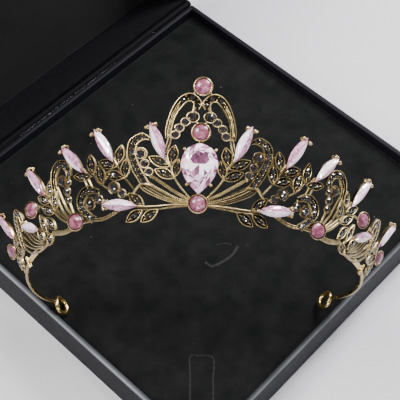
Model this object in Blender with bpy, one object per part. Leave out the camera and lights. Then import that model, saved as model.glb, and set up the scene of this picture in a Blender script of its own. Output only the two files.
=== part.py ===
# Tiara standing in its open presentation box.
# The pierced metal is drawn flat, joined to one solid, and then bent to the curve of the head.
# Each named stone sits in its own setting with a small gap. The box has a base, an insert and a hinged lid.
# Metres, +Z up. The box stands on z = 0, centred on x = 0 and y = 0. The lid is hinged along the +Y side.

import math
import bpy
import bmesh
from mathutils import Matrix, Vector

# Driving dimensions of the tiara
BAND_HALF = 0.120          # along the band, from the middle to the last stone
CROWN_HEIGHT = 0.0475      # from the band line to the top of the pattern
BAND_BEND = 17.3673        # how sharply the band turns at the middle, radians per metre
BAND_EASE = -2144.05       # the band opens out toward the sides
BAND_CLOSE = 141844.0      # and turns in again at its ends
LEAN = 0.3256              # outward lean of the pattern at the middle, radians
LEAN_SIDES = 16.21         # extra lean with the square of the distance along
TWIST = 0.18214            # one side sits a little higher than the other, hand bent
METAL_FACES = 11200        # triangles kept in the pierced metal
SEAT_GAP = 0.00025         # between a stone and its setting
PLATE_BACK = -0.0006       # back face of the pierced metal
WIRE_FRONT = 0.00055       # front face of the wires
RIM_FRONT = 0.00085        # front of the rims round the leaves and ribbons
WIRE_END = 0.1530          # where each end wire reaches its loop
WIRE_WIDTH = 0.0016
LOOP_RADIUS = 0.0046
LOOP_HOLE = 0.0029
LOOP_LEAN = 0.26           # lean of the loops, radians
LOOP_UP = 0.0008           # loop middle over the line of its wire

# Driving dimensions of the stones
NAVETTE_LONG = 0.0152
NAVETTE_WIDE = 0.0043
ROUND_STONE = 0.0029       # radius
BLACK_STONE = 0.0015       # radius
PEAR_LONG = 0.0182
PEAR_WIDE = 0.0130
PEAR_MIDDLE = 0.0152       # height of the widest line of the pear over the band line
PEAR_ROUND = 0.40          # share of its length over the widest line
STONE_RISE = 0.0013        # girdle of a clear stone over the metal

# Driving dimensions of the box
BOX_WIDE = 0.1851          # outside, along the hinge
BOX_DEEP = 0.1794          # outside, across it
BOX_WALL = 0.0026
BOX_HEIGHT = 0.0240
BOX_FLOOR = 0.0020
INSERT_DEPTH = 0.0043      # top of the insert under the rim
LID_DEPTH = 0.0200
LID_PAD = 0.0022           # padded panel inside the lid
LID_OPEN = 95.0            # degrees from closed
HINGE_RADIUS = 0.0015
PIN_RADIUS = 0.0006
PIN_HALF = 0.0630          # half the length of the pin
HINGE_LEAF = 0.0120        # height of the leaves
HINGE_END = 0.0620         # outer end of the base knuckles
HINGE_MID = 0.0338         # where the knuckles meet
FIT_GAP = 0.0003

# How the tiara stands in the box: both end loops on the insert, leaning on the two near walls
BAND_TURN = 80.7           # degrees between the band and the floor
CORNER_TURN = 49.30        # degrees between the lid hinge and the camera side of the tiara
LOOPS_AT = (0.0021, -0.0586)   # middle of the two loops from the middle of the box, across and ahead
LOOP_RISE = 0.0043         # loop middle over the insert
LOOP_LINE_Y = 0.11215      # how far the loops sit behind the front of the band
LOOP_LINE_X = 0.00085
MIDDLE_ROUNDS = (("low", 0.0168), ("middle", 0.5642), ("top", 0.9179))   # on the middle line, up as a share of CROWN_HEIGHT

# The flat pattern of one side. Lengths along are shares of BAND_HALF, heights are shares of CROWN_HEIGHT,
# widths and radii are shares of BAND_HALF. The other side is its mirror.
LEAVES = (  # name, foot along, foot up, tip along, tip up, width
    ("a", 0.0808, 0.3158, 0.0675, 0.4674, 0.0308),
    ("b", 0.0817, 0.2989, 0.1433, 0.3874, 0.0308),
    ("c", 0.0683, 0.2126, 0.1275, 0.2863, 0.0317),
    ("d", 0.0700, 0.2168, 0.0575, 0.3621, 0.0267),
    ("i", 0.1633, 0.0063, 0.2117, 0.1263, 0.0317),
    ("j", 0.1683, -0.0147, 0.2283, -0.0947, 0.0317),
    ("k", 0.1192, -0.0211, 0.1783, -0.1095, 0.0317),
    ("p", 0.2358, 0.3621, 0.2183, 0.5074, 0.0300),
    ("o", 0.2383, 0.3453, 0.3000, 0.4147, 0.0308),
    ("g", 0.2200, 0.2484, 0.2817, 0.3137, 0.0317),
    ("h", 0.2200, 0.2400, 0.2075, 0.3979, 0.0300),
    ("l", 0.3250, 0.3263, 0.3233, 0.4905, 0.0300),
    ("m", 0.3300, 0.3158, 0.3983, 0.3621, 0.0300),
    ("n", 0.2942, 0.2316, 0.3017, 0.3937, 0.0308),
    ("q", 0.5150, 0.1684, 0.4858, 0.3284, 0.0300),
    ("r", 0.5233, 0.2947, 0.5025, 0.4253, 0.0275),
    ("s", 0.5300, 0.2589, 0.5867, 0.3579, 0.0317),
    ("t", 0.5217, 0.1579, 0.5783, 0.2632, 0.0308),
    ("v", 0.5917, 0.0547, 0.6050, 0.2274, 0.0300),
    ("w", 0.5333, 0.0295, 0.5742, 0.1705, 0.0333),
    ("x", 0.6192, 0.0084, 0.6517, 0.1305, 0.0317),
    ("y", 0.5583, 0.0189, 0.6133, -0.0421, 0.0317),
    ("z1", 0.8383, 0.1179, 0.8883, 0.1937, 0.0283),
    ("z2", 0.8417, 0.2274, 0.8950, 0.2568, 0.0267),
    ("z3", 0.9333, 0.1979, 0.9733, 0.0842, 0.0300),
    ("z4", 0.9033, 0.1263, 0.9383, 0.0126, 0.0283),
)
NAVETTES = (  # name, foot along, foot up, tip along, tip up
    ("1", 0.0933, 0.3495, 0.1350, 0.6526),
    ("2", 0.2442, 0.3832, 0.2967, 0.6737),
    ("3", 0.3500, 0.3621, 0.4183, 0.6253),
    ("4", 0.1800, 0.0147, 0.3067, 0.0758),
    ("5", 0.5383, 0.3242, 0.5900, 0.6168),
    ("6", 0.6250, 0.1137, 0.7383, 0.2653),
    ("7", 0.8533, 0.2779, 0.8967, 0.5726),
)
ROUNDS = (  # name, along, up
    ("1", 0.4242, 0.0105),
    ("2", 0.6417, 0.3032),
    ("3", 0.9700, 0.2863),
)
BLACKS = (  # name, along, up
    ("arch", 0.0250, 0.6821),
    ("curl_1", 0.1650, 0.4147),
    ("scroll", 0.2567, 0.1853),
    ("curl_2", 0.3492, 0.1116),
    ("curl_3", 0.4475, 0.3621),
)
RINGS = (  # along, up, outside radius
    (0.0408, 0.6442, 0.0133),
    (0.0567, 0.5979, 0.0133),
    (0.0675, 0.5453, 0.0133),
    (0.1558, 0.3368, 0.0142),
    (0.1442, 0.2716, 0.0133),
    (0.2333, 0.1326, 0.0142),
    (0.3158, 0.1263, 0.0146),
    (0.4250, 0.3368, 0.0113),
    (0.4375, 0.2737, 0.0142),
    (0.4392, 0.2042, 0.0129),
)
RIBBONS = (  # name, outer edge, inner edge, each a row of (along, up)
    ("arch",
     ((0.0942, 0.5221), (0.0942, 0.5853), (0.0875, 0.6611), (0.0783, 0.7368), (0.0667, 0.7979), (0.0542, 0.8400),
      (0.0392, 0.8653), (0.0267, 0.8674), (0.0167, 0.8526), (0.0067, 0.8253), (-0.0004, 0.7958), (-0.0004, 0.7705), (0.0058, 0.7432)),
     ((0.0775, 0.5221), (0.0758, 0.5832), (0.0700, 0.6568), (0.0600, 0.7158), (0.0492, 0.7600), (0.0417, 0.7853),
      (0.0358, 0.8000), (0.0308, 0.8021), (0.0267, 0.7979), (0.0238, 0.7874), (0.0221, 0.7747), (0.0221, 0.7621), (0.0233, 0.7474))),
    ("curl_1",
     ((0.1350, 0.5347), (0.1475, 0.5663), (0.1617, 0.5768), (0.1850, 0.5537), (0.1975, 0.5200), (0.2033, 0.4674),
      (0.2042, 0.4126), (0.1992, 0.3558), (0.1925, 0.2905), (0.1825, 0.2400), (0.1733, 0.1895)),
     ((0.1383, 0.5116), (0.1483, 0.5200), (0.1608, 0.5137), (0.1708, 0.4968), (0.1767, 0.4632), (0.1792, 0.4189),
      (0.1758, 0.3726), (0.1683, 0.3158), (0.1583, 0.2547), (0.1500, 0.2147), (0.1433, 0.1811))),
    ("curl_2",
     ((0.3117, 0.2021), (0.3317, 0.2400), (0.3508, 0.2547), (0.3683, 0.2505), (0.3850, 0.2295), (0.3992, 0.1895),
      (0.4058, 0.1411), (0.4017, 0.0884), (0.3867, 0.0379), (0.3717, -0.0063), (0.3583, -0.0400)),
     ((0.3167, 0.1684), (0.3350, 0.1832), (0.3517, 0.1853), (0.3633, 0.1684), (0.3733, 0.1453), (0.3775, 0.1179),
      (0.3742, 0.0884), (0.3650, 0.0589), (0.3550, 0.0337), (0.3450, 0.0126), (0.3350, 0.0000))),
    ("curl_3",
     ((0.5033, 0.3158), (0.5017, 0.3705), (0.4967, 0.4274), (0.4867, 0.4800), (0.4717, 0.5179), (0.4508, 0.5389),
      (0.4317, 0.5326), (0.4167, 0.5074), (0.4075, 0.4674), (0.4033, 0.4232), (0.4058, 0.3789)),
     ((0.4767, 0.3284), (0.4750, 0.3705), (0.4717, 0.4105), (0.4642, 0.4442), (0.4542, 0.4653), (0.4442, 0.4716),
      (0.4358, 0.4632), (0.4300, 0.4463), (0.4267, 0.4253), (0.4258, 0.4042), (0.4258, 0.3874))),
    ("curl_4",
     ((0.8300, 0.1137), (0.8233, 0.1789), (0.8167, 0.2526), (0.8083, 0.3284), (0.7917, 0.3958), (0.7700, 0.4358),
      (0.7483, 0.4295), (0.7333, 0.3874), (0.7275, 0.3368), (0.7283, 0.2947), (0.7333, 0.2568)),
     ((0.7983, 0.1053), (0.7917, 0.1768), (0.7867, 0.2400), (0.7817, 0.3032), (0.7742, 0.3495), (0.7658, 0.3726),
      (0.7583, 0.3705), (0.7533, 0.3537), (0.7517, 0.3284), (0.7517, 0.3032), (0.7533, 0.2737))),
)
WIRES = (  # name, width, points as (along, up)
    ("rope_1", 0.0075, ((0.1467, 0.1768), (0.1217, 0.1221), (0.0792, 0.0716), (0.0250, 0.0337))),
    ("rope_3", 0.0075, ((0.1850, 0.1474), (0.1583, 0.1305), (0.1283, 0.0716), (0.0917, 0.0337), (0.0250, 0.0147))),
    ("rope_4", 0.0067, ((0.1408, 0.2442), (0.1050, 0.1747), (0.0667, 0.1053), (0.0217, 0.0400))),
    ("band_1", 0.0075, ((0.1733, 0.0084), (0.1300, 0.0042), (0.0750, 0.0095), (0.0250, 0.0095))),
    ("band_2", 0.0075, ((0.1717, -0.0126), (0.1300, -0.0200), (0.0750, -0.0095), (0.0250, 0.0000))),
    ("stem_1", 0.0075, ((0.0933, 0.3579), (0.0800, 0.3032), (0.0750, 0.2400), (0.0533, 0.1453), (0.0200, 0.0463))),
    ("arch_foot", 0.0150, ((0.0858, 0.5347), (0.0908, 0.4842), (0.1033, 0.4126))),
    ("curl_cap", 0.0150, ((0.1967, 0.1389), (0.1700, 0.1768), (0.1433, 0.1558))),
    ("bar_2", 0.0108, ((0.2217, 0.2526), (0.1917, 0.1411))),
    ("post_h", 0.0083, ((0.2050, 0.4547), (0.2075, 0.3747))),
    ("stem_2", 0.0100, ((0.3267, 0.3453), (0.3100, 0.2568), (0.2825, 0.1937), (0.2650, 0.1642))),
    ("stem_2b", 0.0075, ((0.2417, 0.3958), (0.2333, 0.3074), (0.2183, 0.2442))),
    ("stem_2c", 0.0075, ((0.2450, 0.3874), (0.2717, 0.2947), (0.2983, 0.2358))),
    ("ring_tie_2", 0.0075, ((0.2467, 0.1600), (0.2167, 0.1137))),
    ("post_1", 0.0075, ((0.3600, 0.3116), (0.3517, 0.2400))),
    ("post_2", 0.0075, ((0.3450, 0.3074), (0.3350, 0.2316))),
    ("curl_2_low", 0.0108, ((0.3542, -0.0168), (0.3167, -0.0295), (0.2800, -0.0168), (0.2500, 0.0126))),
    ("curl_2_tie", 0.0117, ((0.3583, -0.0168), (0.3958, -0.0126))),
    ("leg_1", 0.0083, ((0.4967, 0.3368), (0.4883, 0.2232), (0.4733, 0.1221), (0.4433, 0.0379))),
    ("leg_2", 0.0083, ((0.4800, 0.3453), (0.4700, 0.2526), (0.4583, 0.1558), (0.4350, 0.0547))),
    ("ring_tie_3", 0.0117, ((0.4383, 0.1811), (0.4300, 0.0716))),
    ("strut_1", 0.0125, ((0.5217, 0.1726), (0.4917, 0.0863), (0.4517, 0.0168))),
    ("strut_2", 0.0167, ((0.5583, 0.0126), (0.5000, -0.0232), (0.4467, -0.0274))),
    ("stem_3", 0.0075, ((0.5233, 0.1663), (0.5283, 0.2316), (0.5250, 0.2863), (0.5400, 0.3347))),
    ("r2_tie", 0.0100, ((0.6167, 0.2821), (0.5883, 0.2821), (0.5750, 0.2505))),
    ("stem_4", 0.0083, ((0.5350, 0.0253), (0.5750, 0.0211), (0.6233, 0.0168))),
    ("m6_foot", 0.0100, ((0.6383, 0.1305), (0.6083, 0.0926), (0.5833, 0.0253))),
    ("fan_1", 0.0067, ((0.7000, 0.1979), (0.6717, 0.0968), (0.6367, 0.0211))),
    ("fan_3", 0.0067, ((0.7467, 0.2232), (0.7000, 0.0674), (0.6300, -0.0105))),
    ("fan_5", 0.0067, ((0.7967, 0.1558), (0.7333, 0.0421), (0.6667, -0.0168), (0.6167, -0.0337))),
    ("fan_6", 0.0083, ((0.8117, 0.1305), (0.7500, 0.0126), (0.6817, -0.0316), (0.6000, -0.0337))),
    ("curl_4_tie", 0.0100, ((0.7367, 0.2863), (0.7483, 0.1979))),
    ("end_stem", 0.0100, ((0.8167, 0.1474), (0.8550, 0.2611), (0.8633, 0.3158))),
    ("end_stem_2", 0.0100, ((0.8133, 0.1263), (0.8483, 0.1053), (0.9083, 0.1347), (0.9567, 0.2484))),
    ("r3_tie", 0.0100, ((0.8800, 0.3032), (0.9200, 0.2526), (0.9517, 0.2484))),
    ("link_arch", 0.0100, ((0.0250, 0.7074), (0.0167, 0.7621))),
    ("link_arch_2", 0.0075, ((0.0467, 0.6274), (0.0508, 0.6147))),
    ("link_arch_3", 0.0075, ((0.0600, 0.5789), (0.0633, 0.5663))),
    ("link_curl_1", 0.0075, ((0.1575, 0.3621), (0.1617, 0.3874))),
    ("link_curl_1b", 0.0075, ((0.1517, 0.3137), (0.1483, 0.2968))),
    ("link_curl_1c", 0.0075, ((0.1408, 0.2484), (0.1400, 0.2232))),
    ("link_curl_2", 0.0100, ((0.3600, 0.1116), (0.3817, 0.1200))),
    ("link_curl_2b", 0.0075, ((0.3383, 0.1179), (0.3242, 0.1242))),
    ("link_curl_2c", 0.0075, ((0.3158, 0.1516), (0.3150, 0.1853))),
    ("link_curl_3", 0.0100, ((0.4583, 0.3663), (0.4800, 0.3747))),
    ("link_curl_3b", 0.0075, ((0.4158, 0.3916), (0.4217, 0.3558))),
    ("link_curl_3c", 0.0075, ((0.4292, 0.3200), (0.4325, 0.2989))),
    ("link_curl_3d", 0.0075, ((0.4383, 0.2484), (0.4383, 0.2295))),
)


def clear_scene():
    for thing in list(bpy.data.objects):
        bpy.data.objects.remove(thing, do_unlink=True)


def heading(along):
    return (BAND_BEND * along + BAND_EASE * along ** 3 / 3.0
            + BAND_CLOSE * along ** 5 / 5.0)


def band_point(along, steps=32):
    x = y = 0.0
    width = along / steps
    for i in range(steps + 1):
        weight = 1.0 if i in (0, steps) else (4.0 if i % 2 else 2.0)
        angle = heading(width * i)
        x += weight * math.cos(angle)
        y += weight * math.sin(angle)
    return x * width / 3.0, y * width / 3.0, heading(along)


def lean_at(along):
    # the pattern leans outward more and more, and the plain wires past the last stone turn back toward their loops
    past = (abs(along) - BAND_HALF) / (WIRE_END - LOOP_RADIUS - BAND_HALF)
    past = min(1.0, max(0.0, past))
    share = past * past * (3.0 - 2.0 * past)
    return (LEAN + LEAN_SIDES * along * along) * (1.0 - share) + LOOP_LEAN * share


def on_band(along, up, out):
    # place of a point of the flat pattern once the band is bent
    x, y, angle = band_point(along)
    lean = lean_at(along)
    side = (math.sin(angle), -math.cos(angle))
    flat = up * math.sin(lean) + out * math.cos(lean)
    rise = up * math.cos(lean) - out * math.sin(lean)
    return Vector((x + flat * side[0], y + flat * side[1],
                   rise + TWIST * along * abs(along)))


def tiara_place():
    # turns the tiara's own frame (x right, y back, z up) into the box's frame
    turn = math.radians(BAND_TURN)
    corner = math.radians(CORNER_TURN)
    right = Vector((math.cos(corner), -math.sin(corner), 0.0))
    ahead = Vector((math.sin(corner), math.cos(corner), 0.0))
    up = Vector((0.0, 0.0, 1.0))
    back = ahead * math.cos(turn) - up * math.sin(turn)
    crown = ahead * math.sin(turn) + up * math.cos(turn)
    frame = Matrix((right, back, crown)).transposed()
    loops = frame @ Vector((LOOP_LINE_X, LOOP_LINE_Y, 0.0))
    spot = right * LOOPS_AT[0] + ahead * LOOPS_AT[1]
    return frame, spot, loops


def lens(foot, tip, width, count):
    # pointed oval from foot to tip, as a closed outline
    a, b = Vector(foot), Vector(tip)
    axis = b - a
    side = Vector((-axis.y, axis.x)).normalized() * width * 0.5
    edge = [math.sin(math.pi * (i + 1) / (count + 1)) ** 0.85 for i in range(count)]
    one = [a + axis * ((i + 1) / (count + 1)) + side * edge[i] for i in range(count)]
    two = [a + axis * ((i + 1) / (count + 1)) - side * edge[i] for i in range(count)]
    return [a] + two + [b] + one[::-1]


def disc(middle, radius, count, start=0.0):
    return [Vector((middle[0] + radius * math.cos(start + math.tau * i / count),
                    middle[1] + radius * math.sin(start + math.tau * i / count)))
            for i in range(count)]


def pear(middle, long, wide, count):
    # round end up, point down, widest line at the middle height
    rows = []
    rise = long * PEAR_ROUND
    drop = long - rise
    for i in range(count):
        angle = math.tau * i / count + math.pi * 0.5
        x, y = math.cos(angle), math.sin(angle)
        if y >= 0:
            rows.append(Vector((middle[0] + wide * 0.5 * x, middle[1] + rise * y)))
        else:
            part = 1.0 - abs(math.asin(max(-1.0, min(1.0, x)))) / (math.pi * 0.5)
            rows.append(Vector((middle[0] + math.copysign(wide * 0.5 * (1.0 - part ** 2.1), x),
                                middle[1] - drop * part)))
    return rows


def true_size(outline, middle):
    # the bent pattern is longer at the top than at the band, so fixed shapes are drawn narrower there
    along, up = middle[0], middle[1]
    bend = BAND_BEND + BAND_EASE * along ** 2 + BAND_CLOSE * along ** 4
    share = 1.0 / (1.0 + up * math.sin(LEAN + LEAN_SIDES * along ** 2) * bend)
    return [Vector((along + (p[0] - along) * share, p[1])) for p in outline]


def grown(outline, amount):
    # outline moved outward by amount, or inward when amount is negative
    count = len(outline)
    moved = []
    for i in range(count):
        before, here, after = outline[i - 1], outline[i], outline[(i + 1) % count]
        one = (here - before).normalized()
        two = (after - here).normalized()
        n1, n2 = Vector((one.y, -one.x)), Vector((two.y, -two.x))
        both = n1 + n2
        if both.length < 1e-9:
            both = n1
        both.normalize()
        reach = min(2.2, 1.0 / max(0.2, both.dot(n1)))
        moved.append(here + both * amount * reach)
    return moved


def outline_ring(outline, out):
    return [Vector((p[0], p[1], out)) for p in outline]


def loft(rings, closed_ends=True, wrap=False):
    # joins rings of the same count; rings run from back to front
    verts, faces = [], []
    count = len(rings[0])
    for ring in rings:
        verts.extend(ring)
    total = len(rings)
    for r in range(total if wrap else total - 1):
        a, b = r * count, ((r + 1) % total) * count
        for i in range(count):
            j = (i + 1) % count
            faces.append((a + i, a + j, b + j, b + i))
    if closed_ends and not wrap:
        faces.append(tuple(range(count))[::-1])
        faces.append(tuple(range((total - 1) * count, total * count)))
    return verts, faces


def plate(outline, back, front):
    return loft([outline_ring(outline, back), outline_ring(outline, front)])


def cup(outline, rim, back, floor, front):
    # closed back, raised rim
    inside = grown(outline, -rim)
    return loft([outline_ring(outline, back), outline_ring(outline, front),
                 outline_ring(inside, front), outline_ring(inside, floor)])


def tube_ring(middle, radius, hole, back, front, count):
    outer, inner = disc(middle, radius, count), disc(middle, hole, count)
    return loft([outline_ring(outer, back), outline_ring(outer, front),
                 outline_ring(inner, front), outline_ring(inner, back)], wrap=True)


def strip_sides(points, width):
    # left and right edge of a band of even width along a row of points
    row = [Vector(p) for p in points]
    left, right = [], []
    for i, here in enumerate(row):
        before = row[max(0, i - 1)]
        after = row[min(len(row) - 1, i + 1)]
        one = (here - before).normalized() if i else (after - here).normalized()
        two = (after - here).normalized() if i < len(row) - 1 else one
        mean = (one + two).normalized()
        side = Vector((-mean.y, mean.x))
        reach = width * 0.5 / max(0.5, side.dot(Vector((-one.y, one.x))))
        left.append(here + side * reach)
        right.append(here - side * reach)
    return left, right


def strip(points, width, back, front):
    left, right = strip_sides(points, width)
    rings = [[Vector((r.x, r.y, back)), Vector((l.x, l.y, back)),
              Vector((l.x, l.y, front)), Vector((r.x, r.y, front))]
             for l, r in zip(left, right)]
    return loft(rings)


def paired(outer, inner, count):
    # both edges of a ribbon at even steps along its middle line
    one, two = [Vector(p) for p in outer], [Vector(p) for p in inner]
    middle = [(a + b) * 0.5 for a, b in zip(one, two)]
    lengths = [0.0]
    for a, b in zip(middle, middle[1:]):
        lengths.append(lengths[-1] + (b - a).length)
    made = []
    for i in range(count):
        want = lengths[-1] * i / (count - 1)
        k = max(j for j in range(len(one) - 1) if lengths[j] <= want + 1e-12)
        part = min(1.0, (want - lengths[k]) / max(1e-9, lengths[k + 1] - lengths[k]))
        made.append((one[k].lerp(one[k + 1], part), two[k].lerp(two[k + 1], part)))
    return made


def channel(outer, inner, rim, back, floor, front, count):
    # trough between two edges: a floor with a raised rim on each side
    rings = []
    for o, n in paired(outer, inner, count):
        step = (n - o).normalized() * rim
        a, b = o + step, n - step
        rings.append([Vector((o.x, o.y, back)), Vector((o.x, o.y, front)),
                      Vector((a.x, a.y, front)), Vector((a.x, a.y, floor)),
                      Vector((b.x, b.y, floor)), Vector((b.x, b.y, front)),
                      Vector((n.x, n.y, front)), Vector((n.x, n.y, back))])
    return loft(rings)


def gem(outline, girdle, crown, depth, table=0.55, culet=0.12):
    # cut stone: small back facet, girdle, flat table
    middle = sum(outline, Vector((0.0, 0.0))) / len(outline)
    def scaled(share, out):
        return [Vector((middle.x + (p.x - middle.x) * share,
                        middle.y + (p.y - middle.y) * share, out)) for p in outline]
    return loft([scaled(culet, girdle - depth), scaled(1.0, girdle), scaled(table, girdle + crown)])


def prong(spot, height):
    # short post from the seat with a wider head beside the stone
    levels = ((PLATE_BACK, 0.00038), (height + 0.0001, 0.0006), (height + 0.0008, 0.0004))
    return loft([outline_ring(disc(spot, radius, 4, 0.6), out) for out, radius in levels])


def mirrored(piece):
    verts, faces = piece
    return ([Vector((-v[0], v[1], v[2])) for v in verts], [f[::-1] for f in faces])


def mesh_from(name, piece, place=None):
    verts, faces = piece
    mesh = bpy.data.meshes.new(name)
    mesh.from_pydata([tuple(v) for v in verts], [], faces)
    work = bmesh.new()
    work.from_mesh(mesh)
    bmesh.ops.triangulate(work, faces=[f for f in work.faces if len(f.verts) > 3])
    bmesh.ops.recalc_face_normals(work, faces=work.faces)
    work.to_mesh(mesh)
    work.free()
    if place:
        for v in mesh.vertices:
            v.co = place(v.co)
        mesh.update()
    return mesh


def add_object(name, mesh):
    thing = bpy.data.objects.new(name, mesh)
    bpy.context.scene.collection.objects.link(thing)
    return thing


def bent(co):
    return on_band(co[0], co[1], co[2])


def sized(along, up):
    return Vector((along * BAND_HALF, up * CROWN_HEIGHT))


def leaf_pieces():
    made = []
    for name, a, b, c, d, width in LEAVES:
        outline = lens(sized(a, b), sized(c, d), width * BAND_HALF, 2)
        made.append(cup(outline, 0.00055, PLATE_BACK, 0.00010, RIM_FRONT))
    return made


def navette_outline(row, grow=0.0, long=NAVETTE_LONG):
    name, a, b, c, d = row
    foot, tip = sized(a, b), sized(c, d)
    axis = (tip - foot).normalized()
    middle = (foot + tip) * 0.5
    half = axis * (long * 0.5 + grow)
    outline = lens(middle - half, middle + half, NAVETTE_WIDE + 2.0 * grow, 3)
    return true_size(outline, middle), middle, axis


def navette_pieces(row):
    # seat under the stone with two ball prongs beside it near the tip
    seat, middle, axis = navette_outline(row, -0.0002)
    made = [plate(seat, PLATE_BACK, 0.0002)]
    foot = middle - axis * NAVETTE_LONG * 0.5
    made.append(strip([foot - axis * 0.0012, foot + axis * 0.0018], 0.0012, PLATE_BACK, 0.0002))
    side = Vector((-axis.y, axis.x))
    for way in (1.0, -1.0):
        spot = middle + axis * NAVETTE_LONG * 0.27 + side * way * (NAVETTE_WIDE * 0.5 + 0.00035)
        inner = middle + axis * NAVETTE_LONG * 0.24 + side * way * 0.0010
        made.append(strip([inner, spot + side * way * 0.0004], 0.0009, PLATE_BACK, 0.0002))
        made.append(prong(spot + side * way * 0.0001, STONE_RISE))
    return made


def round_setting(along, up):
    spot = (along, up)
    outline = true_size(disc(spot, ROUND_STONE + SEAT_GAP + 0.00045, 11), spot)
    return [cup(outline, 0.00045, PLATE_BACK, 0.0001, 0.0013)]


def black_setting(along, up):
    outline = true_size(disc((along, up), BLACK_STONE + SEAT_GAP + 0.0004, 8, 0.2), (along, up))
    return [cup(outline, 0.0004, PLATE_BACK, 0.0001, 0.0011)]


def end_wire():
    # plain wire past the last stone, with its loop; kept apart so that it bends smoothly
    last = WIRE_END - LOOP_RADIUS * 0.75
    row = [(0.0975 + (last - 0.0975) * i / 12.0, 0.0) for i in range(13)]
    return [strip(row, WIRE_WIDTH, -0.0010, 0.0006),
            tube_ring((WIRE_END, LOOP_UP), LOOP_RADIUS, LOOP_HOLE, -0.00095, 0.00065, 12)]


def band_end():
    return [strip([(0.086, -0.0004), (0.0985, 0.0002)], 0.0030, PLATE_BACK, 0.00045),
            strip([(0.0985, -0.0022), (0.0985, 0.0024)], 0.0012, PLATE_BACK, 0.0011)]


def half_pieces():
    made = leaf_pieces()
    for row in NAVETTES:
        made += navette_pieces(row)
    for name, along, up in ROUNDS:
        made += round_setting(along * BAND_HALF, up * CROWN_HEIGHT)
    for name, along, up in BLACKS:
        made += black_setting(along * BAND_HALF, up * CROWN_HEIGHT)
    for along, up, radius in RINGS:
        size = radius * BAND_HALF
        made.append(tube_ring(sized(along, up), size, size - 0.0006, PLATE_BACK, WIRE_FRONT, 6))
    for name, outer, inner in RIBBONS:
        made.append(channel([sized(*p) for p in outer], [sized(*p) for p in inner], 0.00055,
                            PLATE_BACK, 0.00014, RIM_FRONT, 8))
    for name, width, row in WIRES:
        made.append(strip([sized(*p) for p in row], width * BAND_HALF, PLATE_BACK, WIRE_FRONT))
    made += band_end()
    return made


def middle_pieces():
    made = []
    for name, up in MIDDLE_ROUNDS:
        made += round_setting(0.0, up * CROWN_HEIGHT)
    middle = (0.0, PEAR_MIDDLE)
    seat = true_size(pear(middle, PEAR_LONG - 0.0010, PEAR_WIDE - 0.0010, 16), middle)
    made.append(plate(seat, PLATE_BACK, 0.00025))
    for x, y in ((PEAR_WIDE * 0.385, PEAR_LONG * 0.29), (PEAR_WIDE * 0.315, PEAR_LONG * -0.42)):
        for way in (1.0, -1.0):
            spot = Vector((way * x, PEAR_MIDDLE + y))
            inner = Vector((way * x * 0.62, PEAR_MIDDLE + y * 0.72))
            made.append(strip([inner, spot], 0.0009, PLATE_BACK, 0.00025))
            made.append(prong(spot, STONE_RISE + 0.0003))
    low, centre, top = [up * CROWN_HEIGHT for name, up in MIDDLE_ROUNDS]
    seat_edge = ROUND_STONE + SEAT_GAP
    made.append(strip([(0.0, PEAR_MIDDLE + PEAR_LONG * PEAR_ROUND - 0.0020), (0.0, centre - seat_edge)],
                      0.0016, PLATE_BACK, 0.00025))
    made.append(strip([(0.0, top - seat_edge - 0.0032), (0.0, top - seat_edge)], 0.0018, PLATE_BACK, WIRE_FRONT))
    made.append(strip([(0.0, low + seat_edge), (0.0, low + seat_edge + 0.0030)], 0.0016, PLATE_BACK, 0.00025))
    for way in (1.0, -1.0):
        big = Vector((way * BLACKS[0][1] * BAND_HALF, BLACKS[0][2] * CROWN_HEIGHT))
        start = Vector((way * 0.0010, centre + seat_edge))
        made.append(strip([start, start.lerp(big, 0.45)], 0.0009, PLATE_BACK, WIRE_FRONT))
    return made


def joined(name, meshes):
    # one solid from many that touch
    folder = bpy.data.collections.new("joining")
    cutters = []
    for mesh in meshes[1:]:
        thing = bpy.data.objects.new("joining", mesh)
        folder.objects.link(thing)
        cutters.append(thing)
    whole = add_object(name, meshes[0])
    step = whole.modifiers.new("join", "BOOLEAN")
    step.operation = "UNION"
    step.operand_type = "COLLECTION"
    step.collection = folder
    step.solver = "MANIFOLD"
    whole.data = evaluated(whole)
    whole.modifiers.clear()
    for thing in cutters:
        bpy.data.objects.remove(thing, do_unlink=True)
    bpy.data.collections.remove(folder)
    return whole


def evaluated(thing):
    bpy.context.view_layer.update()
    graph = bpy.context.evaluated_depsgraph_get()
    return bpy.data.meshes.new_from_object(thing.evaluated_get(graph), depsgraph=graph)


def tidied(mesh, faces_kept):
    # merges flat faces, then thins the mesh to the faces kept
    work = bmesh.new()
    work.from_mesh(mesh)
    bmesh.ops.remove_doubles(work, verts=work.verts, dist=0.000001)
    bmesh.ops.dissolve_limit(work, angle_limit=0.01, verts=work.verts, edges=work.edges)
    bmesh.ops.triangulate(work, faces=[f for f in work.faces if len(f.verts) > 3])
    work.to_mesh(mesh)
    count = len(work.faces)
    work.free()
    thing = add_object("thinning", mesh)
    step = thing.modifiers.new("spare", "DECIMATE")
    step.ratio = min(1.0, faces_kept / count)
    thinned = evaluated(thing)
    bpy.data.objects.remove(thing, do_unlink=True)
    return thinned


def build_metal(place):
    half = half_pieces()
    pieces = middle_pieces() + half + [mirrored(p) for p in half]
    flat = joined("flat_metal", [mesh_from("piece", p) for p in pieces])
    pierced = tidied(flat.data, METAL_FACES)
    bpy.data.objects.remove(flat, do_unlink=True)
    for v in pierced.vertices:
        v.co = place(bent(v.co))
    ends = []
    for piece in end_wire():
        for one in (piece, mirrored(piece)):
            ends.append(mesh_from("end_wire", one, lambda co: place(bent(co))))
    return joined("tiara_metal", [pierced] + ends)


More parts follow.
